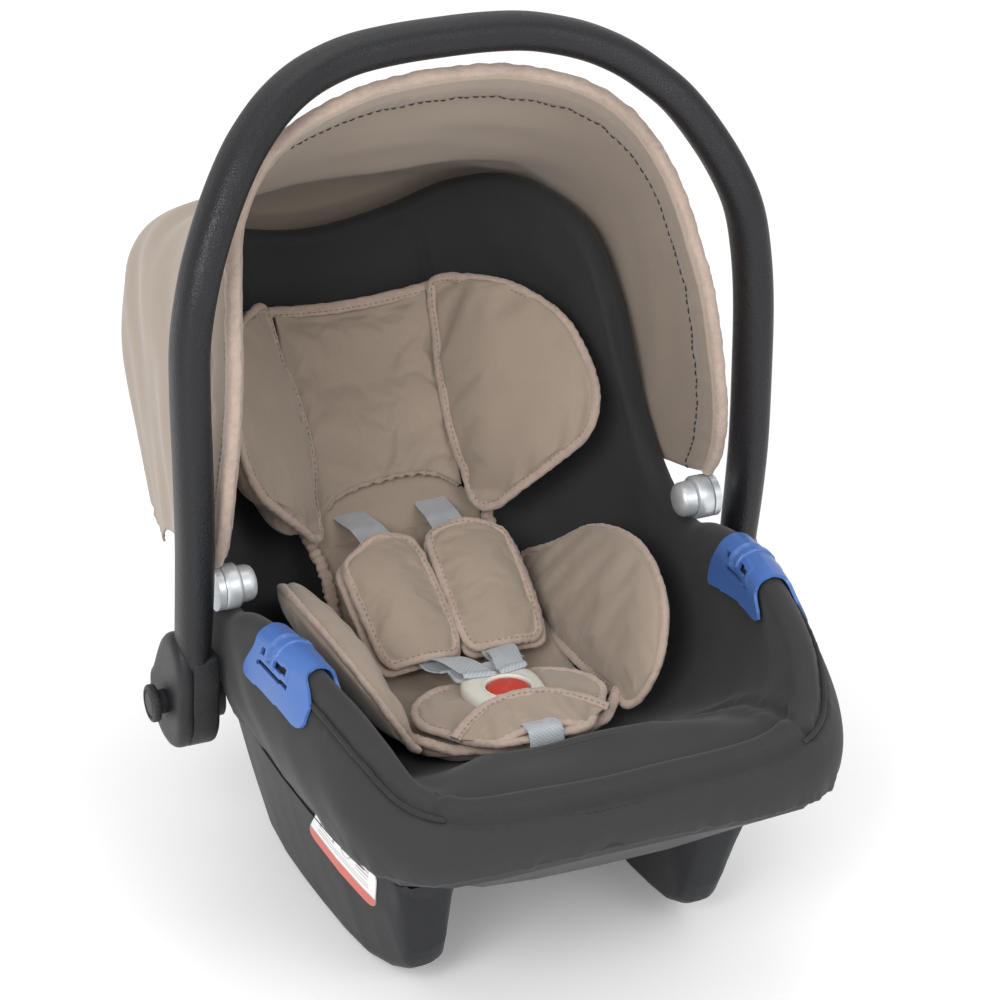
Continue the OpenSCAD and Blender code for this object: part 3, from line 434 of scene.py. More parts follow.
# ------------------------------------------------------------------ padded panels
def sim_panel(ob, pinned, pressure=4.0, cap=7.0, shrink=-0.04, frames_n=16, stiff=12.0):
    """Blender's cloth on a closed pad: swells between its pinned seams; the result is put back into the mesh."""
    me = ob.data
    vg = ob.vertex_groups.new(name="pin")
    vg.add([int(i) for i in pinned], 1.0, "REPLACE")
    md = ob.modifiers.new("Cloth", "CLOTH"); st = md.settings
    st.quality = 4; st.mass = 0.25; st.tension_stiffness = stiff; st.compression_stiffness = stiff; st.shear_stiffness = 4; st.bending_stiffness = 0.25
    st.use_pressure = True; st.uniform_pressure_force = pressure; st.vertex_group_mass = "pin"; st.pin_stiffness = 1.0
    st.shrink_min = shrink; st.shrink_max = shrink
    st.effector_weights.gravity = 0.0
    md.collision_settings.use_collision = False
    md.point_cache.frame_start = 1; md.point_cache.frame_end = frames_n
    sc = bpy.context.scene; sc.frame_start = 1; sc.frame_end = frames_n
    old = np.zeros(len(me.vertices) * 3); me.vertices.foreach_get("co", old); old = old.reshape(-1, 3)
    for f in range(1, frames_n + 1):
        sc.frame_set(f)
    dg = bpy.context.evaluated_depsgraph_get()
    ev = ob.evaluated_get(dg).data
    new = np.zeros(len(ev.vertices) * 3); ev.vertices.foreach_get("co", new); new = new.reshape(-1, 3)
    ob.modifiers.remove(md); ob.vertex_groups.clear()
    sc.frame_set(1)
    if new.shape != old.shape or not np.isfinite(new).all():
        return old
    d = new - old; L = np.linalg.norm(d, axis=1, keepdims=True)
    d = d * np.minimum(1.0, cap * 0.001 / np.maximum(L, 1e-9))
    me.vertices.foreach_set("co", (old + d).ravel()); me.update()
    return old + d

def subdiv(ob, levels=1):
    md = ob.modifiers.new("Sub", "SUBSURF"); md.levels = levels; md.render_levels = levels
    dg = bpy.context.evaluated_depsgraph_get()
    me = bpy.data.meshes.new_from_object(ob.evaluated_get(dg))
    ob.modifiers.remove(md); old = ob.data; ob.data = me; me.name = old.name + "_s"
    me.polygons.foreach_set("use_smooth", [True] * len(me.polygons))

def panel(name, CP, nu, nv, t, mat, back=0.45, p=5.0, pressure=4.0, cap=6.0, flip=False, pucker=0.5, wave_l=9.0, seed=1, body="seat", soft=0.6, sim=True, folds=False):
    """a stuffed pad over a smooth grid, sewn flat round its edge; returns the object, its boundary loop and the loop's normals."""
    G = resample(CP, nu, nv); Nn = gnormals(G) * (-1 if flip else 1)
    u = np.linspace(0, 1, nu)[:, None]; v = np.linspace(0, 1, nv)[None, :]
    prof = np.sqrt(np.clip((1 - np.abs(2 * u - 1) ** p) * (1 - np.abs(2 * v - 1) ** p), 0, 1))
    du = np.minimum(u, 1 - u) * np.linalg.norm(np.diff(G, axis=0), axis=2).sum(0)[None, :]
    dv = np.minimum(v, 1 - v) * np.linalg.norm(np.diff(G, axis=1), axis=2).sum(1)[:, None]
    edge = np.minimum(du, dv)
    pk = wob(G, wave_l, seed, 9) * np.exp(-((edge - 5) / 6.0) ** 2) * pucker + wob(G, 34, seed + 5) * soft * np.clip(edge / 20, 0, 1)
    if folds:       # soft creases that run up from the gathered lower edge
        X = G[..., 0]
        for x0, wd, dep, reach in ((-16, 3.4, 2.4, 0.75), (5, 3.0, 2.8, 0.85), (24, 3.6, 2.0, 0.6), (-36, 4.0, 1.8, 0.5), (41, 3.5, 1.4, 0.4)):
            xx = X - x0 - 4.0 * np.sin(u * 3.0 + x0); fade = np.clip((reach - u) / reach, 0, 1) ** 0.7 * np.clip(u / 0.06, 0, 1)
            pk = pk + (-dep * np.exp(-(xx / wd) ** 2) + 0.7 * dep * np.exp(-((xx - 2.4 * wd) / (1.6 * wd)) ** 2)) * fade
    top = G + Nn * (t * 0.5 * prof + pk * np.clip(edge / 4, 0, 1))[..., None]; bot = G - Nn * (t * 0.5 * back * prof)[..., None]
    V = list(top.reshape(-1, 3)); inner = -np.ones((nu, nv), int)
    for i in range(nu):
        for j in range(nv):
            if i in (0, nu - 1) or j in (0, nv - 1):
                inner[i, j] = i * nv + j
            else:
                inner[i, j] = len(V); V.append(bot[i, j])
    F = gridfaces(nu, nv, flip=flip).tolist()
    for i in range(nu - 1):
        for j in range(nv - 1):
            q = [inner[i, j], inner[i, j + 1], inner[i + 1, j + 1], inner[i + 1, j]]
            F.append(q[::-1] if flip else q)
    ob = make(name, V, F, mat, None)
    pins = [i * nv + j for i in range(nu) for j in range(nv) if i in (0, nu - 1) or j in (0, nv - 1)]
    if sim:
        sim_panel(ob, pins, pressure, cap)
    subdiv(ob, 1)
    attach(ob, body)
    loop = np.concatenate([G[0, :], G[1:, -1], G[-1, -2::-1], G[-2:0:-1, 0]])
    ln = np.concatenate([Nn[0, :], Nn[1:, -1], Nn[-1, -2::-1], Nn[-2:0:-1, 0]])
    return ob, loop, ln, G, Nn

def smooth_loop(P, n, it=2):
    P = spline(P, n, closed=True)
    for _ in range(it):
        P = 0.5 * P + 0.25 * (np.roll(P, 1, 0) + np.roll(P, -1, 0))
    return P

def binding(name, loop, ln, w=3.4, h=2.0, n=220, closed=True, it=3, seed=3, ruffle=0.25, mat=None, stitch=True, body="seat", lift=0.5, inward=None):
    """folded tape round an edge, with its row of stitches along the inner side."""
    if closed:
        P = smooth_loop(loop, n, it); U = unit(smooth_loop(ln, n, 4))
    else:
        P = spline(loop, n); U = unit(spline(ln, n))
        for _ in range(it):
            P[1:-1] = 0.5 * P[1:-1] + 0.25 * (P[2:] + P[:-2])
    P = P + U * lift
    ob = tube(name, P, w, h, mat or M["bind"], body, closed=closed, up=U, sides=14, power=0.8, wobble=lambda V: wob(V, 7, seed) * ruffle + wob(V, 3.5, seed + 1) * ruffle * 0.4)
    if stitch:
        T = unit(np.roll(P, -1, 0) - np.roll(P, 1, 0)) if closed else unit(np.gradient(P, axis=0))
        side = unit(np.cross(U, T)); c = P.mean(0) if inward is None else np.asarray(inward, float)
        if ((c - P) * side).sum() < 0: side = -side
        st = stitches(name + "_stitch", P + side * (w * 0.55) + U * (h * 0.80), U, M["thread"], body, closed=closed, r=0.38, length=2.6, gap=1.6)
    return ob, P, U

def mirror_cp(CP, dx=0.0):
    return [[(-x + dx, y, z) for x, y, z in r] for r in CP]

# ------------------------------------------------------------------ seat cover
def crest_dist(s):
    return 0
SEAM_FRONT = None
def build_cover():
    R = 330; rows = []
    ss = np.concatenate([np.linspace(0, 9.5, 200), np.linspace(9.5, LAST, R - 199)[1:]])
    nO, nI, nF = 44, 52, 16
    us = np.linspace(0, 1, nI + 1)[1:] ** 1.0
    for s in ss:
        o = np.array(outside_pts(s, 0.0) + [inside_pts(s, [0.0])[0]])
        hem_up = np.interp(s, [0, 3, 4.2, 6, 9, 19], [8.0, 8.0, 6, 3, 2, 2])
        O = spline(o, 220)
        L = np.concatenate([[0], np.cumsum(np.linalg.norm(np.diff(O, axis=0), axis=1))])
        S = np.linspace(hem_up, L[-1], nO); O = np.stack([np.interp(S, L, O[:, k]) for k in range(3)], 1)
        n = outw(s)
        turn = [O[0] - n * 4.5 + np.array([0, 0, 14.0]), O[0] - n * 3.4 + np.array([0, 0, 3.0]), O[0] - n * 1.6 + np.array([0, 0, 0.2])]
        I = inside_pts(s, us); f = I[-1]
        Fl = [np.array([f[0] * (1 - k / nF), f[1], f[2]]) for k in range(1, nF + 1)]
        rows.append(turn + list(O) + I + Fl)
    G = np.array(rows)                       # R x C x 3, last column on X = 0
    G[0, :, 0] = 0.0; G[-1, :, 0] = 0.0
    Rn, C = G.shape[:2]
    Nn = gnormals(G)
    Nn[0] = Nn[1]; Nn[0, :, 0] = 0; Nn[-1] = Nn[-2]; Nn[-1, :, 0] = 0; Nn[:, -1, 0] = 0
    for k in range(nF):
        Nn[:, C - nF + k] = Nn[:, C - nF - 1] * (1 - (k + 1) / nF) + Nn[:, -1] * ((k + 1) / nF)
    Nn = unit(Nn)
    mid = G[Rn // 3, 3 + nO // 2]
    if Nn[Rn // 3, 3 + nO // 2] @ np.array([1.0, 0, 0]) < 0:
        Nn = -Nn
    both = []
    for side in (1, -1):
        Gs = G * np.array([side, 1, 1]); Ns = Nn * np.array([side, 1, 1])
        hem_d = np.zeros((Rn, C))
        dd = np.concatenate([np.zeros((Rn, 1)), np.cumsum(np.linalg.norm(np.diff(Gs, axis=1), axis=2), axis=1)], 1)
        hem = dd - dd[:, 3:4]
        front = np.clip((5.2 - ss) / 1.5, 0, 1)[:, None] * 0.8 + 0.35
        g = (wob(Gs * np.array([1, 1, 0.25]), 22, 11, 8) * 0.8 + wob(Gs, 10, 12, 8) * 0.28) * np.exp(-(np.maximum(hem, 0) / 13.0) ** 2) * front * (hem > -3)
        big = wob(Gs, 120, 21) * 0.9 + wob(Gs, 46, 22) * 0.35
        ins = np.zeros((Rn, C)); ins[:, 3 + nO:] = 1
        big *= 1 + 0.5 * ins
        disp = g + big
        Gd = Gs + Ns * disp[..., None]
        flat = Gd.reshape(-1, 3)
        # sewn lines: (points on the surface, depth, width)
        x = side
        seams = []
        rimline = []
        for s in np.linspace(0, 5.6, 60):
            o = np.array(outside_pts(s)); rimline.append(o[4] * 0.75 + o[3] * 0.25)
        rimline = np.array(rimline) * np.array([x, 1, 1])
        seams.append((rimline, 1.5, 2.4))
        seams.append((np.array([(x*100,-150,154),(x*120,-165,168),(x*123.5,-190,182),(x*124,-215,191),(x*123,-240,198),(x*122,-253,200.5),(x*130,-262,193)], float), 2.0, 3.0))
        seams.append((np.array([(x*68,243,380),(x*70,228,350),(x*72,206,305),(x*74,190,276)], float), 2.0, 3.2))
        seams.append((np.array([(x*150,112,392),(x*154,100,372),(x*159,86,334),(x*163,75,305),(x*168,66,285),(x*171,45,262),(x*173,30,246)], float), 1.2, 2.6))
        seams.append((np.array([(x*70,228,350),(x*100,214,352),(x*126,192,360),(x*140,168,372)], float) * np.array([1, 1, 1]), 0.0, 3.0))
        total = np.zeros(len(flat))
        for ln, dep, wd in seams:
            if dep == 0: continue
            d = seglines(flat, ln)
            total -= dep * np.exp(-(d / wd) ** 2)
            total += 0.45 * dep * np.exp(-((d - 2.6 * wd) / (1.6 * wd)) ** 2) + 0.35 * wob(flat, 9, 31) * np.exp(-((d - 4) / 5.0) ** 2)
        Gd = Gd + Ns * total.reshape(Rn, C)[..., None]
        Gd[:, -1, 0] = 0; Gd[0, :, 0] = 0; Gd[-1, :, 0] = 0
        both.append((Gd, rimline))
    A, B = both[0][0], both[1][0]
    V = A.reshape(-1, 3); idxA = np.arange(Rn * C).reshape(Rn, C)
    idxB = np.zeros((Rn, C), int); V2 = []; base = len(V)
    for i in range(Rn):
        for j in range(C):
            if j == C - 1 or i in (0, Rn - 1):
                idxB[i, j] = idxA[i, j]
            else:
                idxB[i, j] = base + len(V2); V2.append(B[i, j])
    V = np.vstack([V, np.array(V2)])
    F = []
    for idx, fl in ((idxA, False), (idxB, True)):
        for i in range(Rn - 1):
            for j in range(C - 1):
                q = [idx[i, j], idx[i + 1, j], idx[i + 1, j + 1], idx[i, j + 1]]
                c = V[q].mean(0)
                if j < 3 + nO - 4 and abs(c[0]) > 150 and math.hypot(c[1] - PIV[0], c[2] - PIV[1]) < 18.5: continue
                if abs(c[0]) < 14.5 and -141.5 < c[1] < -135.5 and 140 < c[2] < 170: continue
                F.append(q if fl else q[::-1])
    ob = make("cover_skin", V, F, [M["cover"]], "seat")
    bm = bmesh.new(); bm.from_mesh(ob.data); bmesh.ops.recalc_face_normals(bm, faces=bm.faces); bm.to_mesh(ob.data); bm.free()
    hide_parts("seat_cover")
    for side, nm in ((1, "right"), (-1, "left")):
        rl = both[0 if side > 0 else 1][1]
        pth = spline(rl[26:], 150); U = unit(np.gradient(pth, axis=0)); upv = unit(np.cross(U, np.cross(np.tile([side * 0.75, -0.25, 0.6], (150, 1)), U)))
        pp = tube("rim_piping_" + nm, pth + upv * 0.6, 1.7, 1.7, M["cover_hem"], "seat", up=upv, sides=10, wobble=lambda V: wob(V, 5, 41) * 0.12)
        sp = spline(rl[:27], 200); n2 = np.tile([0, -0.75, 0.66], (200, 1)).astype(float)
        st = stitches("front_seam_stitch_" + nm, sp + n2 * 0.2 + np.array([0, -3.2, -2.6]), n2, M["thread_dark_and_shadow"], "seat", r=0.4)
    return ob
cover = build_cover()

# ------------------------------------------------------------------ head pillow: centre panel and two wings
def PW(x, d, h):
    return (x, 140 + 0.56 * d - 0.83 * h, 205 + 0.83 * d + 0.56 * h)
centre = []
for d, k in ((0, 0), (25, 1), (55, 1), (85, 1), (115, 1), (149, 0)):
    row = []
    for x in (-57, -38, -18, 0, 18, 38, 57):
        q = 1 - (x / 57.0) ** 2
        dd = d + (20 * (1 - abs(x / 57.0) ** 3.4) + 4 * x / 57.0 if d == 0 else 10 * q if d == 25 else 3 * q if d == 55 else (-3 * q if d == 149 else 0))
        row.append(PW(x + (2 if d > 100 else 0) * (x / 57), dd, (15 if d == 0 else 21 if d == 25 else 24) - (3 if d == 0 else 9) * q + (5 if d > 120 else 0) * (1 - q)))
    centre.append(row)
wing_rows = [((62,151,32),(66,152,37),(72,151,46)), ((60,136,30),(79,140,54),(97,134,79)), ((58.5,115,29),(86,118,62),(113,114,98)), ((54.5,93,30),(90,96,68),(123,95,110)),
             ((52.5,70,31),(92,72,71),(128,72,117)), ((52,50,31),(93,51,73),(130,52,120)), ((53,32,30),(92,32,72),(129,34,118)), ((56.5,15,28),(88,12,67),(121,14,108)),
             ((57,2,28),(78,-2,53),(101,1,83)), ((58,-8,29),(68,-11,42),(80,-10,58)), ((60,-14,33),(64,-16,38),(70,-16,45))]
wr = [[PW(*p) for p in r] for r in wing_rows]
wl = mirror_cp(wr, -4.0)
pc, lc, nc, _, _ = panel("pillow_centre", centre, 52, 46, 22, M["taupe"], seed=101, pucker=0.7, soft=1.7, cap=7, folds=True)
prr, lr, nr, _, _ = panel("pillow_wing_right", wr, 44, 30, 32, M["taupe"], back=0.5, p=2.6, flip=True, seed=111, cap=7, soft=1.0)
pl, ll, nl, _, _ = panel("pillow_wing_left", wl, 44, 30, 38, M["taupe"], back=0.4, p=2.6, seed=121, cap=7, soft=1.0)
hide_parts("head_pillow")
def face_in(P, U, target):
    s = ((np.asarray(target, float) - P) * U).sum()
    return U if s > 0 else -U
binding("pillow_binding_right", lr, face_in(lr, nr, (0, -100, 420)), w=3.6, h=2.6, n=260, seed=7)
binding("pillow_binding_left", ll, face_in(ll, nl, (0, -100, 420)), w=3.6, h=2.6, n=260, seed=8)
topc = np.array([PW(x, 150 - 3 * (1 - (x / 60) ** 2) , 20 + 6 * (x / 60) ** 2) for x in np.linspace(-62, 62, 30)])
binding("pillow_binding_top", topc, np.tile([0, -0.83, 0.56], (30, 1)), w=4.2, h=2.4, n=120, closed=False, seed=9, inward=(0, 170, 280))
bot = np.array([PW(x, 0.5 + 20 * (1 - abs(x / 57.0) ** 3.4) + 4 * x / 57.0, 11.0) for x in np.linspace(-55, 55, 60)])
binding("pillow_edge_bottom", bot, np.tile([0, -0.83, 0.56], (60, 1)), w=1.7, h=1.5, n=160, closed=False, seed=10, ruffle=0.7, mat=M["taupe"], inward=(0, 190, 300), stitch=False)

# ------------------------------------------------------------------ body insert: seat panel and two hip wings
seatp = []
for y, z, w in ((-122, 147, 56), (-98, 142.5, 70), (-68, 139.5, 76), (-38, 139.5, 77), (-8, 143, 77), (20, 149.5, 77), (46, 159, 74), (68, 170.5, 68), (90, 184, 65), (112, 196, 66), (126, 203, 68)):
    seatp.append([(x * w / 6.0, y + (9 * (abs(x) / 6.0) ** 2 if y == -122 else 0), z - 3.0 + 2.5 * (x / 6.0) ** 2) for x in (-6, -4, -2, 0, 2, 4, 6)])
hip = [((80,84,168),(86,90,167),(92,98,171)), ((79,62,156),(90,66,167),(103,72,187)), ((78,36,149),(97,39,174),(115,44,209)), ((77,6,146),(101,8,178),(122,12,220)), ((77,-25,145),(102,-22,179),(124,-21,223)),
       ((78,-54,145),(101,-54,176),(121,-54,218)), ((78.5,-78,146),(97,-81,170),(113,-85,205)), ((78,-95,147),(88,-100,160),(99,-107,181)), ((77,-103,148),(82,-107,152),(87,-110,160))]
hipl = mirror_cp(hip)
si, li, ni, _, _ = panel("insert_seat", seatp, 60, 38, 13, M["taupe"], flip=False, seed=131, pucker=0.4, soft=1.3, cap=4, pressure=2.0)
hr, lhr, nhr, _, _ = panel("insert_wing_right", hip, 50, 28, 30, M["taupe"], back=0.5, p=2.6, seed=141, cap=7, soft=1.0)
hl, lhl, nhl, _, _ = panel("insert_wing_left", hipl, 50, 28, 34, M["taupe"], back=0.45, p=2.6, flip=True, seed=151, cap=7, soft=1.0)
neck = [[PW(x * w, d, h + (1.5 if abs(x) == 1 else 0)) for x in (-1, -0.6, 0, 0.6, 1)] for d, w, h in ((-34, 62, 9.0), (-22, 66, 14.0), (-11, 68, 14.0), (-1, 66, 10.5), (8, 58, 7.0), (18, 50, 5.0), (28, 44, 4.2), (36, 40, 3.6))]
ne, _, _, _, _ = panel("insert_neck", neck, 40, 26, 5.5, M["taupe"], seed=161, pucker=0.4, soft=0.8, cap=1.5, pressure=1.0, sim=False)
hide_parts("body_insert")
binding("insert_binding_right", lhr, face_in(lhr, nhr, (0, -40, 330)), w=3.6, h=2.6, n=280, seed=17)
binding("insert_binding_left", lhl, face_in(lhl, nhl, (0, -40, 330)), w=3.6, h=2.6, n=280, seed=18)
fr = np.array([(x, -122 + 9 * (x / 56.0) ** 2 * 1.0 + max(0, abs(x) - 56) * 0.9, 146 + 1.5 * (x / 56.0) ** 2) for x in np.linspace(-80, 80, 40)])
binding("insert_binding_front", fr, np.tile([0, -0.35, 0.94], (40, 1)), w=4.0, h=2.6, n=200, closed=False, seed=19, inward=(0, 0, 150), lift=1.0)
for sd, nm in ((1, "right"), (-1, "left")):
    nk = np.array([(sd * 73, 46, 158), (sd * 69, 68, 172), (sd * 66, 90, 186), (sd * 67, 108, 198), (sd * 70, 120, 207)], float)
    binding("neck_binding_" + nm, nk, np.tile([0, -0.6, 0.8], (5, 1)), w=4.2, h=2.8, n=120, closed=False, seed=23, ruffle=0.8, inward=(0, 80, 180), stitch=False, lift=2.0)

# ------------------------------------------------------------------ harness
PT0 = np.array([0, 70, 211.5]); PTT = unit(np.array([0, -83.0, -56.0])); PTN = np.array([0, 56.0, -83.0]); PTN = -unit(PTN)
def PT(x, t, h=0.0):
    return tuple(np.array([x, 0, 0]) + PT0 + PTT * t + PTN * (h - 3.0 * (t / 50.0 - 1) ** 2 + 2.0))
def strap_path(a):
    S = [[150.0,226.5],[146.5,222.5],[141,216],[134,211.5],[124,211],[112,211.5],[100,212],[80,207],[50,188],[20,169],[0,160],[-14,157.5],[-26,160.0],[-33,162.5]]
    P = [(a * 35 - a * 12 * i / 11.0 if i < 12 else a * (23 - (i - 11) * 1.5), y, z) for i, (y, z) in enumerate(S)]
    return spline(np.array(P, float), 150)
for a, nm in ((-1, "left"), (1, "right")):
    P = strap_path(a)
    w = np.interp(np.arange(150), [0, 140, 149], [25, 25, 24])
    r = ribbon("shoulder_webbing_" + nm, P, (1, 0, 0), w, 1.5, M["webbing"], "seat", nw=11, wave=lambda V: wob(V, 40, 61) * 0.25)
    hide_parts("shoulder_strap_" + nm)
    for e in (-1, 1):
        st = stitches("webbing_stitch_%s_%d" % (nm, e + 1), P[95:] + np.array([e * 10.3, 0, 0.9]), np.tile([0, -0.5, 0.86], (55, 1)), M["thread"], "seat", r=0.3, length=2.2, gap=1.4)
    # tongue: a moulded bar with the webbing's loop in front of it
    cx = a * 12.5; TY, TZ = -12.0, -1.5
    out = [(-11.5, -20), (11.5, -20), (12.5, -24), (12.0, -34), (7.5, -38), (7.0, -51), (-7.0, -51), (-7.5, -38), (-12.0, -34), (-12.5, -24)]
    o2 = smooth_loop(np.array([(cx + x, y + TY, 0) for x, y in out], float), 72, 1)
    V = []; zs = [(160.9, 1.0), (161.2, 0.25), (161.9, 0), (162.9, 0), (163.5, 0.3), (163.8, 1.1)]
    cxy = o2.mean(0)
    for z, ins in zs:
        d = o2 - cxy; L = np.linalg.norm(d, axis=1, keepdims=True); q = cxy + d * (1 - ins / L); q[:, 2] = z + TZ + 1.2 * np.exp(-((q[:, 1] - TY + 22) / 4.0) ** 2); V.append(q)
    V = np.array(V); F = gridfaces(len(zs), 72, closed_v=True).tolist() + [list(range(72))[::-1], [(len(zs) - 1) * 72 + k for k in range(72)]]
    tg = make("tongue_" + nm, V.reshape(-1, 3), F, M["tongue"], "seat", sharp=40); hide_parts("buckle_tongue_" + nm)
    lp = spline(np.array([(cx + a * 9, -12, 161.0), (cx + a * 7, -22, 166.0), (cx + a * 4.5, -34, 168.5), (cx + a * 2, -44, 168.6), (cx + a * 0.5, -52, 168.8), (cx, -57, 170.2), (cx, -59.5, 169.0), (cx, -58.6, 167.4)], float), 60)
    lb = ribbon("tongue_loop_" + nm, lp, unit([1, a * 0.22, 0]), 22.5, 1.5, M["webbing"], "seat", nw=9)
    # shoulder pad: an upper padded leaf and a thinner leaf under the strap
    xc = a * 33.5
    up, lo = [], []
    for t, hw in ((-6, 22.5), (-2.5, 26.2), (6, 28), (24, 28.8), (46, 28.8), (66, 28.5), (79, 27.5), (86.5, 25.5), (90, 21.5)):
        up.append([PT(xc - a * 3.0 * (t / 100.0) + hw * k, t + 2.0 * (1 - k * k) * (1 if t > 50 else -1) * (1 if t in (-6, 90) else 0) + (max(0, -k) * 10 * (1 - t / 100.0) if a < 0 else max(0, k) * 5 * (1 - t / 100.0)), 3.2 - 5.5 * k * k) for k in (-1, -0.6, 0, 0.6, 1)])
        lo.append([PT(xc - a * 3.0 * (t / 100.0) + (hw + 2.5) * k + a * 1.5, t + 2 + (max(0, -k) * 10 * (1 - t / 100.0) if a < 0 else max(0, k) * 5 * (1 - t / 100.0)), -7.5 - 1.0 * k * k) for k in (-1, -0.6, 0, 0.6, 1)])
    pu, lu, nu_, _, _ = panel("shoulder_pad_top_" + nm, up, 44, 26, 15, M["taupe"], flip=True, seed=171 + a, p=3.6, cap=5, pucker=0.5, soft=0.9)
    plo, l2, n2, _, _ = panel("shoulder_pad_under_" + nm, lo, 40, 22, 6, M["taupe"], flip=True, seed=181 + a, p=6, cap=2, pucker=0.3, soft=0.5, pressure=1.5)
    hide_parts("shoulder_pad_" + nm)
    binding("shoulder_pad_binding_" + nm, lu, face_in(lu, nu_, (0, -120, 420)), w=3.3, h=2.4, n=260, seed=27 + a)
    binding("shoulder_pad_under_binding_" + nm, l2, face_in(l2, n2, (0, -120, 420)), w=3.0, h=2.0, n=240, seed=37 + a, stitch=False)

# crotch pad: two lobes beside the buckle, and a pocket over its lower half
cp = []
for y, w, z in ((-44, 36, 152.0), (-53, 53, 152), (-68, 64, 152.4), (-86, 66, 152.4), (-102, 57, 152.8), (-117, 45, 153.6), (-130, 37, 156.6), (-137, 30, 158.4)):
    cp.append([(w * k, y + 3 * (1 - k * k) * (1 if y == -44 else 0), z - 0.5 + 3.0 * abs(k) ** 2.2 * (1 if y > -110 else 0.3)) for k in (-1, -0.62, 0, 0.62, 1)])
cpo, lcp, ncp, _, _ = panel("crotch_pad_lobes", cp, 46, 44, 8, M["taupe"], flip=False, seed=191, p=6, cap=3, pucker=0.5, soft=0.9, pressure=2.5)
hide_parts("crotch_pad")
binding("crotch_pad_binding", lcp, face_in(lcp, ncp, (0, -100, 400)), w=3.5, h=2.5, n=300, seed=47)
pk = []
for y, w, z in ((-95, 56, 168.8), (-103, 54, 169.4), (-113, 48, 168.0), (-123, 41, 165.8), (-132, 34, 163.6)):
    pk.append([(w * k, y - (22 * k * k if y == -95 else 15 * k * k if y == -103 else 8 * k * k if y == -113 else 3 * k * k), z - (z - 157.5) * abs(k) ** 2.2) for k in (-1, -0.75, -0.4, 0, 0.4, 0.75, 1)])
pko, lpk, npk, Gpk, _ = panel("crotch_pocket", pk, 24, 40, 4.5, M["taupe"], flip=True, seed=201, p=6, cap=2.5, pucker=0.5, soft=0.8, pressure=1.5)
binding("crotch_pocket_binding", Gpk[0], np.tile([0, -0.2, 0.98], (len(Gpk[0]), 1)), w=3.8, h=2.0, n=140, closed=False, seed=48, inward=(0, -140, 165), lift=1.2)
binding("crotch_pocket_edge", Gpk[-1], np.tile([0, -0.5, 0.86], (len(Gpk[-1]), 1)), w=2.6, h=1.8, n=120, closed=False, seed=49, inward=(0, -90, 165), lift=0.8, stitch=False)
cs = ribbon("crotch_webbing", spline(np.array([(0,-138.5,84),(0,-138.6,120),(0,-140.2,148),(0,-141.4,158),(0,-138.6,164.6),(0,-131,165.6),(0,-123,163.4),(0,-114,160.6),(0,-109,158.9)], float), 120), (1, 0, 0), 25, 1.5, M["webbing"], "seat", nw=11)
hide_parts("crotch_strap")

# buckle: a shield-shaped housing with a round recess, and the red button
def shield(n=160):
    half = [(0, -36.5), (17, -36.5), (26, -40), (30, -48), (30.5, -58), (29, -70), (26, -84), (22, -95), (12, -99), (0, -99.5)]
    pts = half + [(-x, y) for x, y in half[-2:0:-1]]
    return smooth_loop(np.array([(x, y, 0) for x, y in pts], float), n, 2)
def build_buckle():
    o = shield(); n = len(o); ctr = np.array([0, -66, 0.0]); rings = []
    d = o - ctr; L = np.linalg.norm(d, axis=1, keepdims=True); dirn = d / L
    for ins, z in ((2.0, 157.6), (0.5, 158.2), (0, 159.5), (0, 163.0), (0.5, 165.0), (1.8, 166.5), (4.0, 167.5), (7.5, 168.3)):
        q = ctr + dirn * (L - ins); q[:, 2] = z; rings.append(q)
    L1 = L - 7.5
    for k in (0.25, 0.5, 0.75):
        q = ctr + dirn * (L1 * (1 - k) + 17.6 * k); q[:, 2] = 168.3 + 0.9 * k; rings.append(q)
    for r, z in ((17.4, 169.5), (16.6, 169.8), (15.9, 169.6), (15.4, 168.9), (15.2, 167.6), (15.2, 163.0)):
        q = ctr + dirn * r * np.array([1 / 0.9, 1, 1]); q[:, 2] = z; rings.append(q)
    V = np.array(rings) * np.array([0.9, 1, 1]); F = gridfaces(len(rings), n, closed_v=True).tolist(); F += [list(range(n))[::-1]]
    m = len(rings); V = V.reshape(-1, 3)
    # two shallow parting lines from the button to the lower corners
    for lx in (-1, 1):
        dd = seglines(V, np.array([(lx * 14, -76, 169), (lx * 27, -88, 168)], float)); up = V[:, 2] > 165
        V[:, 2] -= np.exp(-(dd / 0.9) ** 2) * 0.5 * up
    V = V + np.array([0, -12.0, -1.5])
    ob = make("buckle_body", V, F, M["ivory"], "seat", sharp=45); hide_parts("buckle_housing")
    prof = [(0.01, 169.6), (6, 169.55), (10, 169.3), (12.6, 168.9), (13.9, 168.3), (14.5, 167.4), (14.6, 166.2), (14.6, 163.4)]
    th = np.arange(72) * 2 * math.pi / 72
    V = np.array([[(r * math.cos(t) * 0.99, -78 + r * math.sin(t), z - 1.5) for t in th] for r, z in prof])
    b = make("button_cap", V.reshape(-1, 3), gridfaces(len(prof), 72, closed_v=True, flip=True).tolist(), M["red"], "buckle_button", sharp=50)
    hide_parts("buckle_button")
build_buckle()

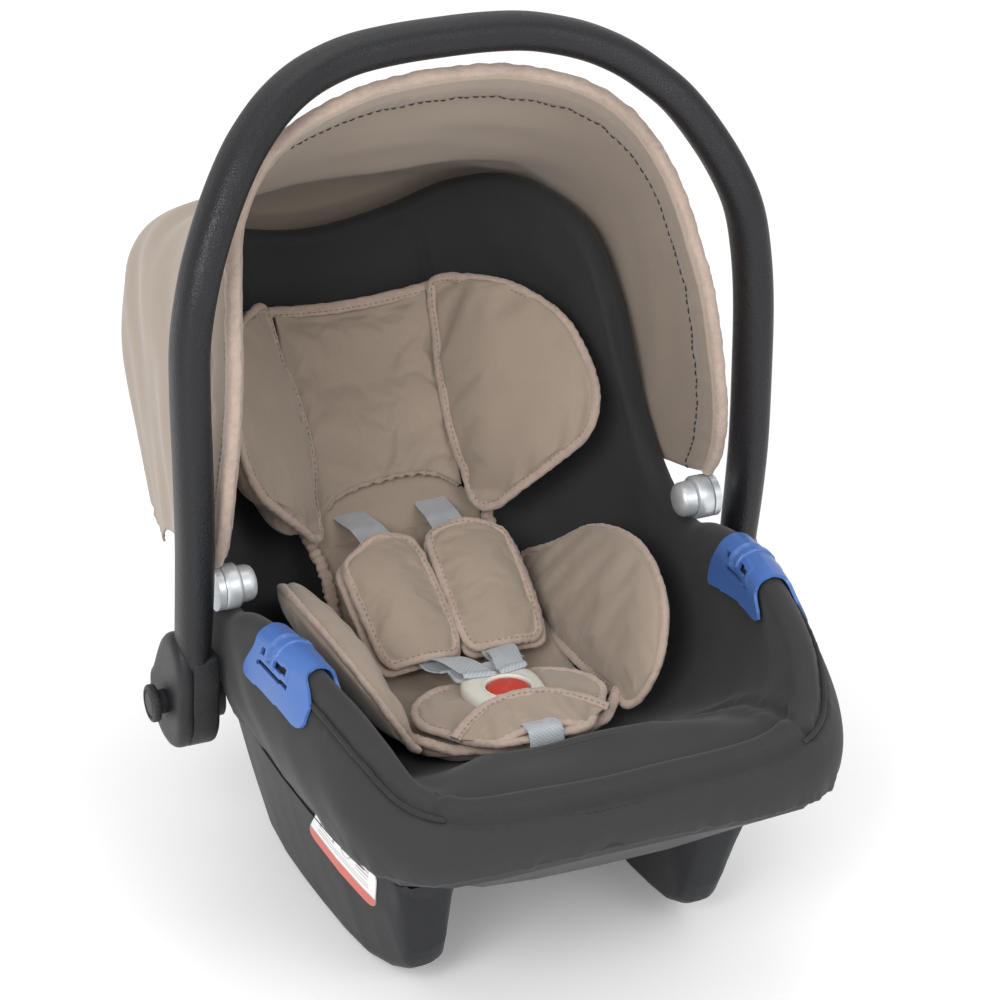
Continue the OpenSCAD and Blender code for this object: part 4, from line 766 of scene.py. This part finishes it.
# ------------------------------------------------------------------ handle
GRIP = [[202,-16,180],[202,-17,198],[202,-20,220],[202,-26,255],[202,-31,295],[202,-32.5,345],[202,-32,395],[200,-30,432],[194,-29,465],[184,-23,492],[170,-14,518],[155,-5,539.5],
        [141,4,553],[124,13,566],[104,22,576],[84,29,582],[60,33,587],[30,34,589.5],[0,34,590]]
def build_handle():
    H = [(-x, y, z) for x, y, z in GRIP] + [tuple(p) for p in GRIP[-2::-1]]
    P = spline(np.array(H, float), 420)
    for _ in range(6):
        P[1:-1] = 0.5 * P[1:-1] + 0.25 * (P[2:] + P[:-2])
    n = len(P); e = np.minimum(np.arange(n), n - 1 - np.arange(n)) / 18.0
    k = 1 - 0.22 * np.exp(-e)
    ob = tube("handle_grip", P, 12.5 * k, 15.5 * (1 - 0.1 * np.exp(-e)), M["handle"], "handle", up=(0, 1, 0), sides=48, power=0.82)
    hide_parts("handle_bow")
    # moulding line along the inner side: its paths are worked out here, but no line is built
    T, A, B = frames(P, False, (0, 1, 0))
    for sgn, nm in ((1, "rear"), (-1, "fore")):
        ln = P + A * 0.0 + B * (sgn * 15.35)
    return P
HP = build_handle()

def hub_outline(top, n=240):
    pts = [(PIV[0] + 33 * math.cos(math.radians(q)), PIV[1] + 33 * math.sin(math.radians(q))) for q in np.linspace(18, -188, 60)]
    return smooth_loop(np.array([(0, y, z) for y, z in pts + top], float), n, 5)
def hub_layer(name, o, steps, a):
    n = len(o); T = unit(np.roll(o, -1, 0) - np.roll(o, 1, 0)); inn = np.cross(np.array([1.0, 0, 0]), T); c = o.mean(0)
    inn *= np.sign(((c - o) * inn).sum(1))[:, None]
    for _ in range(6): inn = unit(inn + np.roll(inn, 1, 0) + np.roll(inn, -1, 0))
    rings = []
    for x, ins in steps:
        q = o + inn * ins; q[:, 0] = a * x; rings.append(q)
    V = list(np.array(rings).reshape(-1, 3)); m = len(rings); base = rings[-1]; ctr = np.array([a * steps[-1][0], c[1], c[2]])
    for k in (0.3, 0.6, 0.85): V += list(base + (ctr - base) * k); m += 1
    V.append(ctr); F = gridfaces(m, n, closed_v=True).tolist(); F += [[(m - 1) * n + k, (m - 1) * n + (k + 1) % n, m * n] for k in range(n)]; F.append(list(range(n)))
    ob = make(name, V, F, M["housing"], "handle", sharp=50)
    bm = bmesh.new(); bm.from_mesh(ob.data); bmesh.ops.recalc_face_normals(bm, faces=bm.faces); bm.to_mesh(ob.data); bm.free()
    return ob
def build_hub(a, nm):
    inner = hub_outline([(-29.6, 178), (-32.4, 190), (-33, 201), (-30, 207), (-16, 208), (-4, 206), (6, 201), (18, 190), (28, 179)])
    ob = hub_layer("handle_housing_" + nm, inner, ((187.8, 3.0), (188.0, 1.6), (188.8, 0.5), (190.2, 0.0), (205.4, 0.0), (206.2, 0.5), (206.8, 1.4)), a)
    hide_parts("handle_hub_" + nm)
    outer = hub_outline([(-29.6, 178), (-31.5, 190), (-30.5, 203), (-25, 213), (-14, 219), (-2, 217), (10, 208), (21, 193), (29, 180)])
    hub_layer("handle_cover_" + nm, outer, ((206.4, 1.2), (206.9, 0.4), (207.6, 0.0), (210.8, 0.0), (212.9, 0.5), (214.6, 1.9), (215.8, 4.2), (216.4, 7.0), (216.5, 10.0)), a)
    prof = [(209.6, 5.7), (209.6, 8.3), (217.6, 8.3), (221.4, 8.3), (221.5, 11.6), (221.9, 12.6), (222.6, 13.0), (225.4, 13.0), (226.3, 12.6), (226.8, 11.7), (226.9, 10.4), (226.2, 9.8), (226.0, 9.0), (226.5, 8.2), (226.9, 7.2), (227.0, 4.0), (227.0, 0.01)]
    kn = lathe("release_knob_" + nm, prof, PIV, a, M["housing"], "release_button_" + nm, seg=96)
    v = np.array([x.co for x in kn.data.vertices]) ; rr = np.hypot(v[:, 1] - (PIV[0] + Y0) * .001, v[:, 2] - PIV[1] * .001); th = np.arctan2(v[:, 2] - PIV[1] * .001, v[:, 1] - (PIV[0] + Y0) * .001)
    mask = (rr > 0.0124); sc = 1 - 0.03 * mask * (np.cos(th * 24) > 0.3)
    for i, x in enumerate(kn.data.vertices):
        if mask[i]:
            x.co.y = (PIV[0] + Y0) * .001 + (x.co.y - (PIV[0] + Y0) * .001) * sc[i]; x.co.z = PIV[1] * .001 + (x.co.z - PIV[1] * .001) * sc[i]
    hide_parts("release_button_" + nm)
for a, nm in ((-1, "left"), (1, "right")):
    build_hub(a, nm)
    s1 = lathe("hood_socket_" + nm, [(168.0, 5.2), (168.0, 13.4), (168.3, 14.3), (169.1, 15.0), (170.2, 15.2), (178.4, 15.2), (179.2, 14.8), (179.6, 14.0), (179.6, 5.2)], HUB, a, M["silver"], "seat", seg=96)
    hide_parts("canopy_socket_" + nm)
    s2 = lathe("hood_cap_" + nm, [(155.4, 0.01), (155.5, 4.0), (155.9, 7.2), (156.7, 9.6), (158.0, 11.2), (159.8, 12.1), (162.4, 12.4), (167.2, 12.6), (167.6, 12.2), (167.6, 5.2)], HUB, a, M["silver"], "canopy", seg=96)
    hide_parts("canopy_cap_" + nm)

# ------------------------------------------------------------------ canopy
ARC = [[1,0,0],[1.005,0.05,-12],[1,0.137,-25],[0.985,0.24,-33],[0.965,0.34,-37],[0.94,0.47,-38],[0.915,0.567,-31],[0.885,0.67,-22],[0.85,0.745,-13],[0.78,0.82,-7],[0.69,0.88,-3],[0.58,0.925,-1],[0.44,0.96,0],[0.25,0.99,0],[0,1,0]]
ARCB = [[1,0],[1,0.07],[1,0.18],[1,0.31],[0.995,0.43],[0.985,0.56],[0.97,0.67],[0.94,0.77],[0.9,0.85],[0.83,0.915],[0.74,0.955],[0.62,0.98],[0.46,0.993],[0.25,1],[0,1]]
HOOD = [[184.5,-13,264.5,33,569.5,0],[184,22,254,95,507,0.35],[181,62,246,155,460,0.75],[172,102,236,213,438,1],[165,140,221,268,408,1],[159,167,204,294,355,0.95],[152,186,189,291,272,0.85]]
def arc_half(s, off):
    w = tab(HOOD, s); fade = max(0, 1 - s / 3.0) ** 2; ay, az, by, bz = w[1], w[2], w[3], w[4]; m = max(0, min(1, w[5])); out = []
    for r, rb in zip(ARC, ARCB):
        q = r[1] * (1 - m) + rb[1] * m; x = r[0] * (1 - m) + rb[0] * m
        out.append([(w[0] - off) * x, ay + (by - off * 0.3 - ay) * q + r[2] * fade, az + (bz - off - az) * q])
    return np.array(out)
def arc_full(s, off, n):
    h = arc_half(s, off); P = np.vstack([h, h[-2::-1] * np.array([-1, 1, 1])])
    return spline(P, n)
def build_canopy():
    NS_, NA = 150, 230
    S = np.concatenate([np.linspace(0, 1.0, 70), np.linspace(1.0, 6.0, NS_ - 69)[1:]])
    G = np.array([arc_full(s, 0.8, NA) for s in S]); Nn = gnormals(G)
    if Nn[70, NA // 2, 2] < 0: Nn = -Nn
    dist = np.concatenate([np.zeros((1, NA)), np.cumsum(np.linalg.norm(np.diff(G, axis=0), axis=2), axis=0)], 0)
    al = np.linspace(-1, 1, NA)[None, :] * np.ones((NS_, 1))
    top = 1 - np.abs(al)
    L = np.linalg.norm(np.diff(G[0], axis=0), axis=1).sum()
    Q = np.stack([dist * 0.55, al * L / 2 * 0.9, np.zeros_like(al)], -1)
    QR = np.stack([dist * 0.9, al * L / 2 * 0.28, np.zeros_like(al)], -1)
    folds = wob(QR, 44, 301) * 1.3 * np.clip((dist - 45) / 50, 0, 1) + wob(Q, 90, 302) * 0.9 * np.clip((dist - 40) / 40, 0, 1)
    # the sleeve for the bow: a soft roll behind the front edge, gathered at its seam
    slv = 36.0
    gl = np.stack([np.zeros_like(al), al * L / 2, np.zeros_like(al)], -1)
    gat = wob(gl, 15, 303, 9)
    roll = 1.2 * np.sin(np.clip((dist - 6) / (slv - 6), 0, 1) * math.pi)
    pull = np.exp(-((dist - slv) / 3.2) ** 2)
    scal = gat * (1.1 * np.exp(-((dist - slv - 6) / 9.0) ** 2) + 0.8 * np.exp(-((dist - slv + 6) / 7.0) ** 2))
    hem = dist[-1:, :] - dist
    hemg = wob(gl, 13, 304, 9) * 1.4 * np.exp(-(hem / 12.0) ** 2)
    side = np.minimum(1, (1 - np.abs(al)) / 0.012)
    d_out = folds + roll * 0.8 - pull * 1.1 + scal * 0.7 + hemg
    sl = slv + gat * 2.4
    core = -5.9 * np.clip((dist + 0.5) / 2.5, 0, 1) * np.clip((sl - dist) / (sl - 15.0), 0, 1) ** 0.7
    step = -2.6 * np.clip((sl - dist) / 1.5, 0, 1)
    fine = wob(gl, 9, 305, 9) * np.clip(dist / 12, 0, 1) * np.clip((sl - dist) / 12, 0, 1) * 0.9
    d_in = folds + core + step + fine + scal * 0.6 + hemg
    O = G + Nn * (0.6 + d_out * side)[..., None]; I = G + Nn * (-1.0 + d_in * side)[..., None]
    # keep the cloth out of the handle's way and off the hub
    for A in (O, I):
        A[..., 0] = np.clip(A[..., 0], -186.0, 186.0)
    V = np.vstack([O.reshape(-1, 3), I.reshape(-1, 3)]); k = NS_ * NA
    F = gridfaces(NS_, NA, flip=False).tolist() + gridfaces(NS_, NA, off=k, flip=True).tolist()
    for i in range(NS_ - 1):
        F.append([i * NA, k + i * NA, k + (i + 1) * NA, (i + 1) * NA]); j = NA - 1
        F.append([i * NA + j, (i + 1) * NA + j, k + (i + 1) * NA + j, k + i * NA + j])
    for j in range(NA - 1):
        F.append([j, j + 1, k + j + 1, k + j]); b = (NS_ - 1) * NA
        F.append([b + j, k + b + j, k + b + j + 1, b + j + 1])
    ob = make("canopy_hood", V, F, M["canopy"], None)
    bm = bmesh.new(); bm.from_mesh(ob.data); bmesh.ops.recalc_face_normals(bm, faces=bm.faces); bm.to_mesh(ob.data); bm.free()
    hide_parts("canopy_fabric")
    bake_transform(ob)
    # front binding
    E = G[0] + (G[1] - G[0]) * 0.0; P = spline(E, 420); U = spline(Nn[0], 420); U = unit(U)
    T = unit(np.gradient(P, axis=0)); back = unit(np.cross(U, T))
    if back[210, 1] < 0: back = -back
    P = P + back * 4.4 - U * 3.0
    P[:, 0] = np.clip(P[:, 0], -184.2, 184.2)
    b = tube("canopy_binding", P, 6.6, 4.9, M["bind"], "canopy", up=U, sides=18, power=0.75, wobble=lambda V: wob(V, 11, 311) * 0.35 + wob(V, 5, 312) * 0.15)
    for e, nm in ((9.6, "a"),):
        pp = P + back * e * 0.55; s2 = stitches("canopy_stitch_out", pp + U * 4.3, U, M["thread"], "canopy", r=0.4, length=3.0, gap=1.8)
        s3 = stitches("canopy_stitch_in", pp - U * 4.4, -U, M["thread"], "canopy", r=0.4, length=3.0, gap=1.8)
    # sleeve seam, inside: stitches along the gathers, in dark thread that paints the shadow line under the sleeve's
    # folded edge
    row = np.array([np.argmin(np.abs(dist[:, j] - sl[0, j] + 2.0)) for j in range(NA)])
    pin = np.array([I[row[j], j] for j in range(NA)]); nin = np.array([-Nn[row[j], j] for j in range(NA)])
    s4 = stitches("canopy_sleeve_stitch_painted_shadow", spline(pin, 400) + spline(nin, 400) * 0.6, unit(spline(nin, 400)), M["thread_dark_and_shadow"], "canopy", r=0.55, length=4.2, gap=2.2)
build_canopy()

# ------------------------------------------------------------------ belt guides
def gmap(s, w, off):
    o = outside_pts(s, off); P = np.array([o[1], o[2], o[3], o[4], o[5], o[6], o[7]] + inside_pts(s, [0.0, 0.1, 0.2, 0.3, 0.42], off))
    Q = spline(P, 160); L = np.concatenate([[0], np.cumsum(np.linalg.norm(np.diff(Q, axis=0), axis=1))]); k = np.argmin(np.linalg.norm(Q - o[6], axis=1))
    return np.stack([np.interp(L[k] - np.asarray(w), L, Q[:, c]) for c in range(3)], 1)
def build_guide(a, nm):
    qf, qm, qr = 12, 62, 16; wf, wm, wr_ = 16, 62, 16; NA_, NB = qf + qm + qr, wf + wm + wr_
    V = np.zeros((NA_, NB, 3)); SW = np.zeros((NA_, NB, 2)); sms = lambda x, a_, b_: np.clip((x - a_) / (b_ - a_), 0, 1) ** 2 * (3 - 2 * np.clip((x - a_) / (b_ - a_), 0, 1))
    for i in range(NA_):
        q = i / (NA_ - 1.0); r = 8.0 * (1 - math.sqrt(max(0, 1 - max(0, (abs(2 * q - 1) - 0.82) / 0.18) ** 2)))
        w = np.concatenate([np.linspace(-(38 + 10 * q) + r, -29.5, wf + 1)[:-1], np.linspace(-29.5, 31.5, wm), np.linspace(31.5, 44 - r, wr_ + 1)[1:]])
        sf = 5.30 + 0.27 * (1 - sms(np.abs(w + 6), 13, 32)); sr = 6.98 + 0.28 * sms(np.abs(w - 3), 14, 40)
        s = sf + (5.76 - sf) * i / qf if i < qf else 5.76 + (6.86 - 5.76) * (i - qf) / (qm - 1.0) + 0 * w if i < qf + qm else 6.86 + (sr - 6.86) * (i - qf - qm + 1) / float(qr)
        SW[i, :, 0] = s; SW[i, :, 1] = w
    ss = np.linspace(5.2, 7.4, 90); tabs = np.array([gmap(s, np.linspace(-52, 50, 205), -4.0) for s in ss])
    def look(s, w):
        fi = np.clip((s - 5.2) / 2.2 * 89, 0, 88.999); fj = np.clip((w + 52) / 102 * 204, 0, 203.999); i0, j0 = int(fi), int(fj); u, v = fi - i0, fj - j0
        return tabs[i0, j0] * (1 - u) * (1 - v) + tabs[i0 + 1, j0] * u * (1 - v) + tabs[i0, j0 + 1] * (1 - u) * v + tabs[i0 + 1, j0 + 1] * u * v
    for i in range(NA_):
        for j in range(NB):
            V[i, j] = look(*SW[i, j])
    Nn = gnormals(V); c = V[NA_ // 2, NB // 2]
    if Nn[NA_ // 2, NB // 3, 2] < 0: Nn = -Nn
    s, w = SW[..., 0], SW[..., 1]
    box2 = lambda s0, s_1, w0, w1: np.clip(np.minimum(np.minimum((s - s0) * 46, (s_1 - s) * 46), np.minimum(w - w0, w1 - w)) / 0.9 + 0.5, 0, 1)
    groove = box2(6.36, 6.50, -21, 23.5); rim_ = box2(6.22, 6.36, -19, 24)
    V = V + Nn * (-2.6 * groove + 1.3 * rim_)[..., None]
    V = V + Nn * (0.6 * box2(5.86, 6.30, 14, 25) + 0.6 * box2(5.86, 6.30, -21.5, -9))[..., None]
    holes = (box2(5.84, 6.76, 26.6, 29.2) > 0.5) | (box2(5.93, 6.22, 17.5, 22.0) > 0.5) | (box2(6.60, 6.70, 18, 22.5) > 0.5) | (box2(5.84, 6.66, -26.2, -23.6) > 0.5) | (box2(5.93, 6.18, -19.5, -14.0) > 0.5) | (box2(6.58, 6.68, -18.5, -14.0) > 0.5)
    idx = np.arange(NA_ * NB).reshape(NA_, NB); th = 2.3
    top = V; bot = V - Nn * th; P = np.vstack([top.reshape(-1, 3), bot.reshape(-1, 3)]) * np.array([a, 1, 1]); k = NA_ * NB
    cell = holes[:-1, :-1] | holes[1:, :-1] | holes[:-1, 1:] | holes[1:, 1:]
    F = []
    keep = ~cell
    for i in range(NA_ - 1):
        for j in range(NB - 1):
            if not keep[i, j]: continue
            q = [idx[i, j], idx[i + 1, j], idx[i + 1, j + 1], idx[i, j + 1]]
            F.append(q); F.append([x + k for x in q[::-1]])
            for (di, dj, e0, e1) in ((-1, 0, (i, j), (i, j + 1)), (1, 0, (i + 1, j), (i + 1, j + 1)), (0, -1, (i, j), (i + 1, j)), (0, 1, (i, j + 1), (i + 1, j + 1))):
                ii, jj = i + di, j + dj
                if ii < 0 or jj < 0 or ii >= NA_ - 1 or jj >= NB - 1 or not keep[ii, jj]:
                    A_, B_ = idx[e0], idx[e1]; F.append([A_, B_, B_ + k, A_ + k])
    ob = make("guide_plate_" + nm, P, F, M["blue"], None, sharp=38)
    bm = bmesh.new(); bm.from_mesh(ob.data)
    bmesh.ops.delete(bm, geom=[v for v in bm.verts if not v.link_faces], context="VERTS")
    bmesh.ops.recalc_face_normals(bm, faces=bm.faces); bm.to_mesh(ob.data); bm.free()
    md = ob.modifiers.new("bev", "BEVEL"); md.width = 0.0005; md.segments = 2; md.limit_method = "ANGLE"; md.angle_limit = math.radians(50)
    me = bpy.data.meshes.new_from_object(ob.evaluated_get(bpy.context.evaluated_depsgraph_get())); ob.modifiers.remove(md); ob.data = me
    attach(ob, "seat"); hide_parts("belt_guide_" + nm)
build_guide(-1, "left"); build_guide(1, "right")

# ------------------------------------------------------------------ rocker base and label
BASE = [[-190,127,102,119,90,96,1],[-184,129,104,116,68,91.5,1],[-176,131,107,113,42,91.5,1],[-175,131,107,113,40,91.5,0],[-168,133,110,112,25,90,0],[-160,135,113,112,19,88,0],
        [-140,140,119,114,10,81.5,0],[-110,145,125,117,3,73,0],[-75,149,130,118,0,62,0],[-35,151,134,119,0,59,0],[0,151,137,119,0,58,0],[35,150,140,118,0,59,0],
        [75,147,146,114,0,64,0],[105,142,154,109,6,72,0],[130,135,164,104,20,82,0],[149,126,172,101,46,92,0],[150,126,172,101,47,92,1],[160,119,176,104,110,112,1]]
def base_row(y):
    T = np.array([r for r in BASE if r[6] == 0 or r[0] in (-190, -184, 160)], float)
    return [float(np.interp(y, T[:, 0], T[:, k])) for k in range(1, 6)]
def round_poly(P, r, k=5):
    """a closed polygon in (x, z) with its corners rounded"""
    P = np.asarray(P, float); n = len(P); out = []
    for i in range(n):
        a, b, c = P[i - 1], P[i], P[(i + 1) % n]; la, lc = np.linalg.norm(a - b), np.linalg.norm(c - b); d = min(r[i], la * 0.45, lc * 0.45)
        p0 = b + (a - b) / max(la, 1e-6) * d; p1 = b + (c - b) / max(lc, 1e-6) * d
        for t in np.linspace(0, 1, k):
            out.append((1 - t) ** 2 * p0 + 2 * t * (1 - t) * b + t * t * p1)
    return np.array(out)
def base_prof(y, full_h):
    xt, zt, xb, zb, zp = base_row(y); xi = xb - 25
    if full_h:   # closed wall across the end
        pts = [(0, zp + 2.6), (xi - 6, zp + 2.6), (xi + 3, zp + 3.2), (xt - 6, max(zp + 3, zt - 4)), (xt - 3.2, zt), (xt, zt), ((xt + xb) / 2 + 3.5, (zt + zb) / 2), (xb + 2.5, zb + 6), (xb - 3, zb), (xb - 16, zb), (xi, zb + 5), (xi - 6, zp), (0, zp)]
    else:
        pts = [(0, zp + 2.6), (xi - 6, zp + 2.6), (xi + 3, zb + 8), (xb - 5, zb + 7), (xt - 3.2, zt), (xt, zt), ((xt + xb) / 2 + 3.5, (zt + zb) / 2), (xb + 2.5, zb + 6), (xb - 3, zb), (xb - 16, zb), (xi, zb + 5), (xi - 6, zp), (0, zp)]
    rr = [0.1, 4, 3, 3, 1.2, 1.6, 30, 6, 5, 4, 6, 6, 0.1]
    return round_poly(pts, rr, 6)
def build_base():
    ys = sorted(set([-190, -189.4, -188, -186, -183, -180, -177, -175.2, -175.0, -174, -172, -168, -164, -160, -155] + list(np.linspace(-150, 140, 84)) + [144, 147, 149.0, 149.2, 150, 152, 154, 156, 158, 159.2, 159.8, 160]))
    rows = []
    for y in ys:
        q = base_prof(y, y < -175.1 or y > 149.1)
        sh = 0.0
        if y < -187: sh = (-187 - y) / 3.0
        if y > 157: sh = (y - 157) / 3.0
        c = np.array([q[:, 0].mean(), q[:, 1].mean()]); rows.append(np.stack([q[:, 0] - sh ** 2 * 2.0 * (q[:, 0] > 60), np.full(len(q), y), q[:, 1] - sh ** 2 * 1.5 * (q[:, 1] > c[1] + 30)], 1))
    R = np.array(rows); n, m = R.shape[:2]
    wobz = 0
    full_ = np.concatenate([R, (R * np.array([-1, 1, 1]))[:, ::-1]], 1); M2 = full_.shape[1]
    F = gridfaces(n, M2, closed_v=True).tolist(); V = full_.reshape(-1, 3)
    F += [list(range(M2)), [(n - 1) * M2 + k for k in range(M2)][::-1]]
    ob = make("base_shell", V, F, M["base"], None)
    bm = bmesh.new(); bm.from_mesh(ob.data); bmesh.ops.remove_doubles(bm, verts=bm.verts, dist=1e-6); bmesh.ops.triangulate(bm, faces=[f for f in bm.faces if len(f.verts) > 8]); bmesh.ops.recalc_face_normals(bm, faces=bm.faces); bm.to_mesh(ob.data); bm.free()
    try: ob.data.set_sharp_from_angle(angle=math.radians(42))
    except Exception: pass
    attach(ob, "seat"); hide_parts("rocker_base")
    # a thin raised line that follows the runner on each flank
    for a in (-1, 1):
        for kk, hh in ((0, 0.80),):
            pts = []
            for y in np.linspace(-150, 130, 80):
                xt, zt, xb, zb, zp = base_row(y); z = zb + (zt - zb) * hh; pts.append((a * (base_x(y, z) + 0.15), y, z))
            g = tube("base_line_%s" % ("right" if a > 0 else "left"), spline(np.array(pts), 200), 0.7, 1.1, M["base"], "seat", up=(a, 0, 0.1), sides=8)
def base_x(y, z):
    xt, zt, xb, zb, zp = base_row(y); q = base_prof(y, False); m = q[(q[:, 0] > xb - 1)]
    k = np.argsort(m[:, 1]); mm = m[k]
    return float(np.interp(z, mm[:, 1], mm[:, 0]))
build_base()
def build_label():
    nu, nv = 60, 40; out = np.zeros((nu, nv, 3)); keep = np.ones((nu, nv), bool); kind = np.zeros((nu - 1, nv - 1), int)
    for i in range(nu):
        for j in range(nv):
            u, v = i / (nu - 1), j / (nv - 1)
            lo = np.array([-64, 81]) * (1 - u) + np.array([-152, 64]) * u; hi = np.array([-95, 114]) * (1 - u) + np.array([-166, 100]) * u
            du, dv = min(u, 1 - u) * 80, min(v, 1 - v) * 40; r = 9
            if du < r and dv < r:
                k = math.hypot(r - du, r - dv)
                if k > r:
                    f = r / k; du2, dv2 = r - (r - du) * f, r - (r - dv) * f
                    u = du2 / 80 if u < 0.5 else 1 - du2 / 80; v = dv2 / 40 if v < 0.5 else 1 - dv2 / 40
                    lo = np.array([-64, 81]) * (1 - u) + np.array([-152, 64]) * u; hi = np.array([-95, 114]) * (1 - u) + np.array([-166, 100]) * u
            p = lo * (1 - v) + hi * v
            out[i, j] = (-(base_x(p[0], p[1]) + 0.75), p[0], p[1])
    for i in range(nu - 1):
        for j in range(nv - 1):
            u, v = (i + .5) / (nu - 1), (j + .5) / (nv - 1)
            t = 0
            if v < 0.27: t = 1
            elif 0.27 <= v < 0.30: t = 2
            elif 0.10 < u < 0.90 and (abs(v - 0.42) < 0.013 or abs(v - 0.50) < 0.013): t = 2
            elif 0.10 < u < 0.36 and 0.58 < v < 0.88 and (abs(u - 0.12) < 0.012 or abs(u - 0.34) < 0.012 or abs(v - 0.60) < 0.016 or abs(v - 0.86) < 0.016): t = 2
            elif abs(math.hypot((u - 0.53) * 2.0, v - 0.73) - 0.13) < 0.016: t = 2
            elif 0.70 < u < 0.88 and (abs(v - 0.62) < 0.015 or abs(v - 0.72) < 0.015 or abs(v - 0.82) < 0.015): t = 2
            kind[i, j] = t
    back = out + np.array([0.5, 0, 0]); V = np.vstack([out.reshape(-1, 3), back.reshape(-1, 3)]); k = nu * nv
    F = gridfaces(nu, nv).tolist(); mi = kind.reshape(-1).tolist()
    rim_ = [(i, 0) for i in range(nu)] + [(nu - 1, j) for j in range(1, nv)] + [(i, nv - 1) for i in range(nu - 2, -1, -1)] + [(0, j) for j in range(nv - 2, 0, -1)]
    ids = [i * nv + j for i, j in rim_]
    for p, q in zip(ids, ids[1:] + ids[:1]):
        F.append([p, q, q + k, p + k]); mi.append(0)
    ob = make("label_film", V, F, [M["label_white"], M["label_red"], M["label_grey"]], "seat")
    ob.data.polygons.foreach_set("material_index", mi)
    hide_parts("warning_label")
build_label()

NODE_MATS = {"shell": "shell", "rocker_base": "base", "foam_liner": "foam", "pivot_boss_left": "housing", "pivot_boss_right": "housing", "pivot_bolt_left": "steel", "pivot_bolt_right": "steel",
             "button_spring_left": "steel", "button_spring_right": "steel", "harness_yoke": "steel", "shell_screws": "steel", "canopy_pin_left": "silver", "canopy_pin_right": "silver",
             "canopy_socket_left": "silver", "canopy_socket_right": "silver", "canopy_cap_left": "silver", "canopy_cap_right": "silver", "release_button_left": "housing", "release_button_right": "housing",
             "handle_bow": "handle", "handle_hub_left": "housing", "handle_hub_right": "housing", "canopy_bow": "bow", "canopy_fabric": "canopy", "belt_guide_left": "blue", "belt_guide_right": "blue",
             "shoulder_strap_left": "webbing", "shoulder_strap_right": "webbing", "shoulder_pad_left": "taupe", "shoulder_pad_right": "taupe", "crotch_pad": "taupe", "crotch_strap": "webbing",
             "buckle_housing": "ivory", "buckle_button": "red", "buckle_tongue_left": "tongue", "buckle_tongue_right": "tongue", "warning_label": "label_white"}
# ------------------------------------------------------------------ floor, light, camera
def build_stage():
    me = bpy.data.meshes.new("floor"); n = 24; S = 6.0
    vs = [(-S + 2 * S * i / n, -S + 2 * S * j / n, -0.0006) for i in range(n + 1) for j in range(n + 1)]
    fs = [(i * (n + 1) + j, (i + 1) * (n + 1) + j, (i + 1) * (n + 1) + j + 1, i * (n + 1) + j + 1) for i in range(n) for j in range(n)]
    me.from_pydata(vs, [], fs); fl = bpy.data.objects.new("floor", me); bpy.context.scene.collection.objects.link(fl)
    m, nt, b = newmat("floor_paper")
    nt.links.new(ramp(nt, noise(nt, 3, 3, 0.5), [(0.3, (0.93, 0.93, 0.93)), (0.7, (0.955, 0.955, 0.955))]), b.inputs["Base Color"])
    b.inputs["Roughness"].default_value = 0.9; b.inputs["Specular IOR Level"].default_value = 0.1; b.inputs["Emission Color"].default_value = (1, 1, 1, 1); b.inputs["Emission Strength"].default_value = 0.14
    me.materials.append(m)
    w = bpy.data.worlds.new("studio"); bpy.context.scene.world = w; w.use_nodes = True
    w.node_tree.nodes["Background"].inputs[0].default_value = (1.0, 1.0, 1.0, 1); w.node_tree.nodes["Background"].inputs[1].default_value = 0.78
    def area(name, loc, target, size, power, col=(1, 1, 1)):
        l = bpy.data.lights.new(name, "AREA"); l.shape = "RECTANGLE"; l.size = size[0]; l.size_y = size[1]; l.energy = power; l.color = col
        o = bpy.data.objects.new(name, l); bpy.context.scene.collection.objects.link(o); o.location = loc
        o.rotation_euler = (Vector(target) - Vector(loc)).to_track_quat("-Z", "Y").to_euler()
        return o
    area("key", (-1.7, -1.9, 1.75), (0, 0, 0.3), (1.1, 1.1), 40)
    area("fill", (0.6, -2.4, 1.6), (0, 0, 0.3), (1.2, 1.2), 14)
    area("top", (0.2, 0.4, 2.6), (0, 0, 0.2), (1.8, 1.8), 12)
    cam = bpy.data.cameras.new("camera"); co = bpy.data.objects.new("camera", cam); bpy.context.scene.collection.objects.link(co)
    cam.lens = 135.5; cam.sensor_width = 36.0; cam.clip_start = 0.1; cam.clip_end = 50
    co.location = (-0.9132, -2.1269 + Y0 * 0.001, 1.3517)
    co.rotation_euler = (Vector((0.02657, -0.00429 + Y0 * 0.001, 0.26928)) - co.location).to_track_quat("-Z", "Y").to_euler()
    bpy.context.scene.camera = co
    sc = bpy.context.scene; sc.view_settings.view_transform = "Standard"; sc.view_settings.look = "None"; sc.view_settings.exposure = 0.0
build_stage()

for _nm, _mt in NODE_MATS.items():
    if _nm in N:
        N[_nm].data.materials.clear(); N[_nm].data.materials.append(M[_mt])
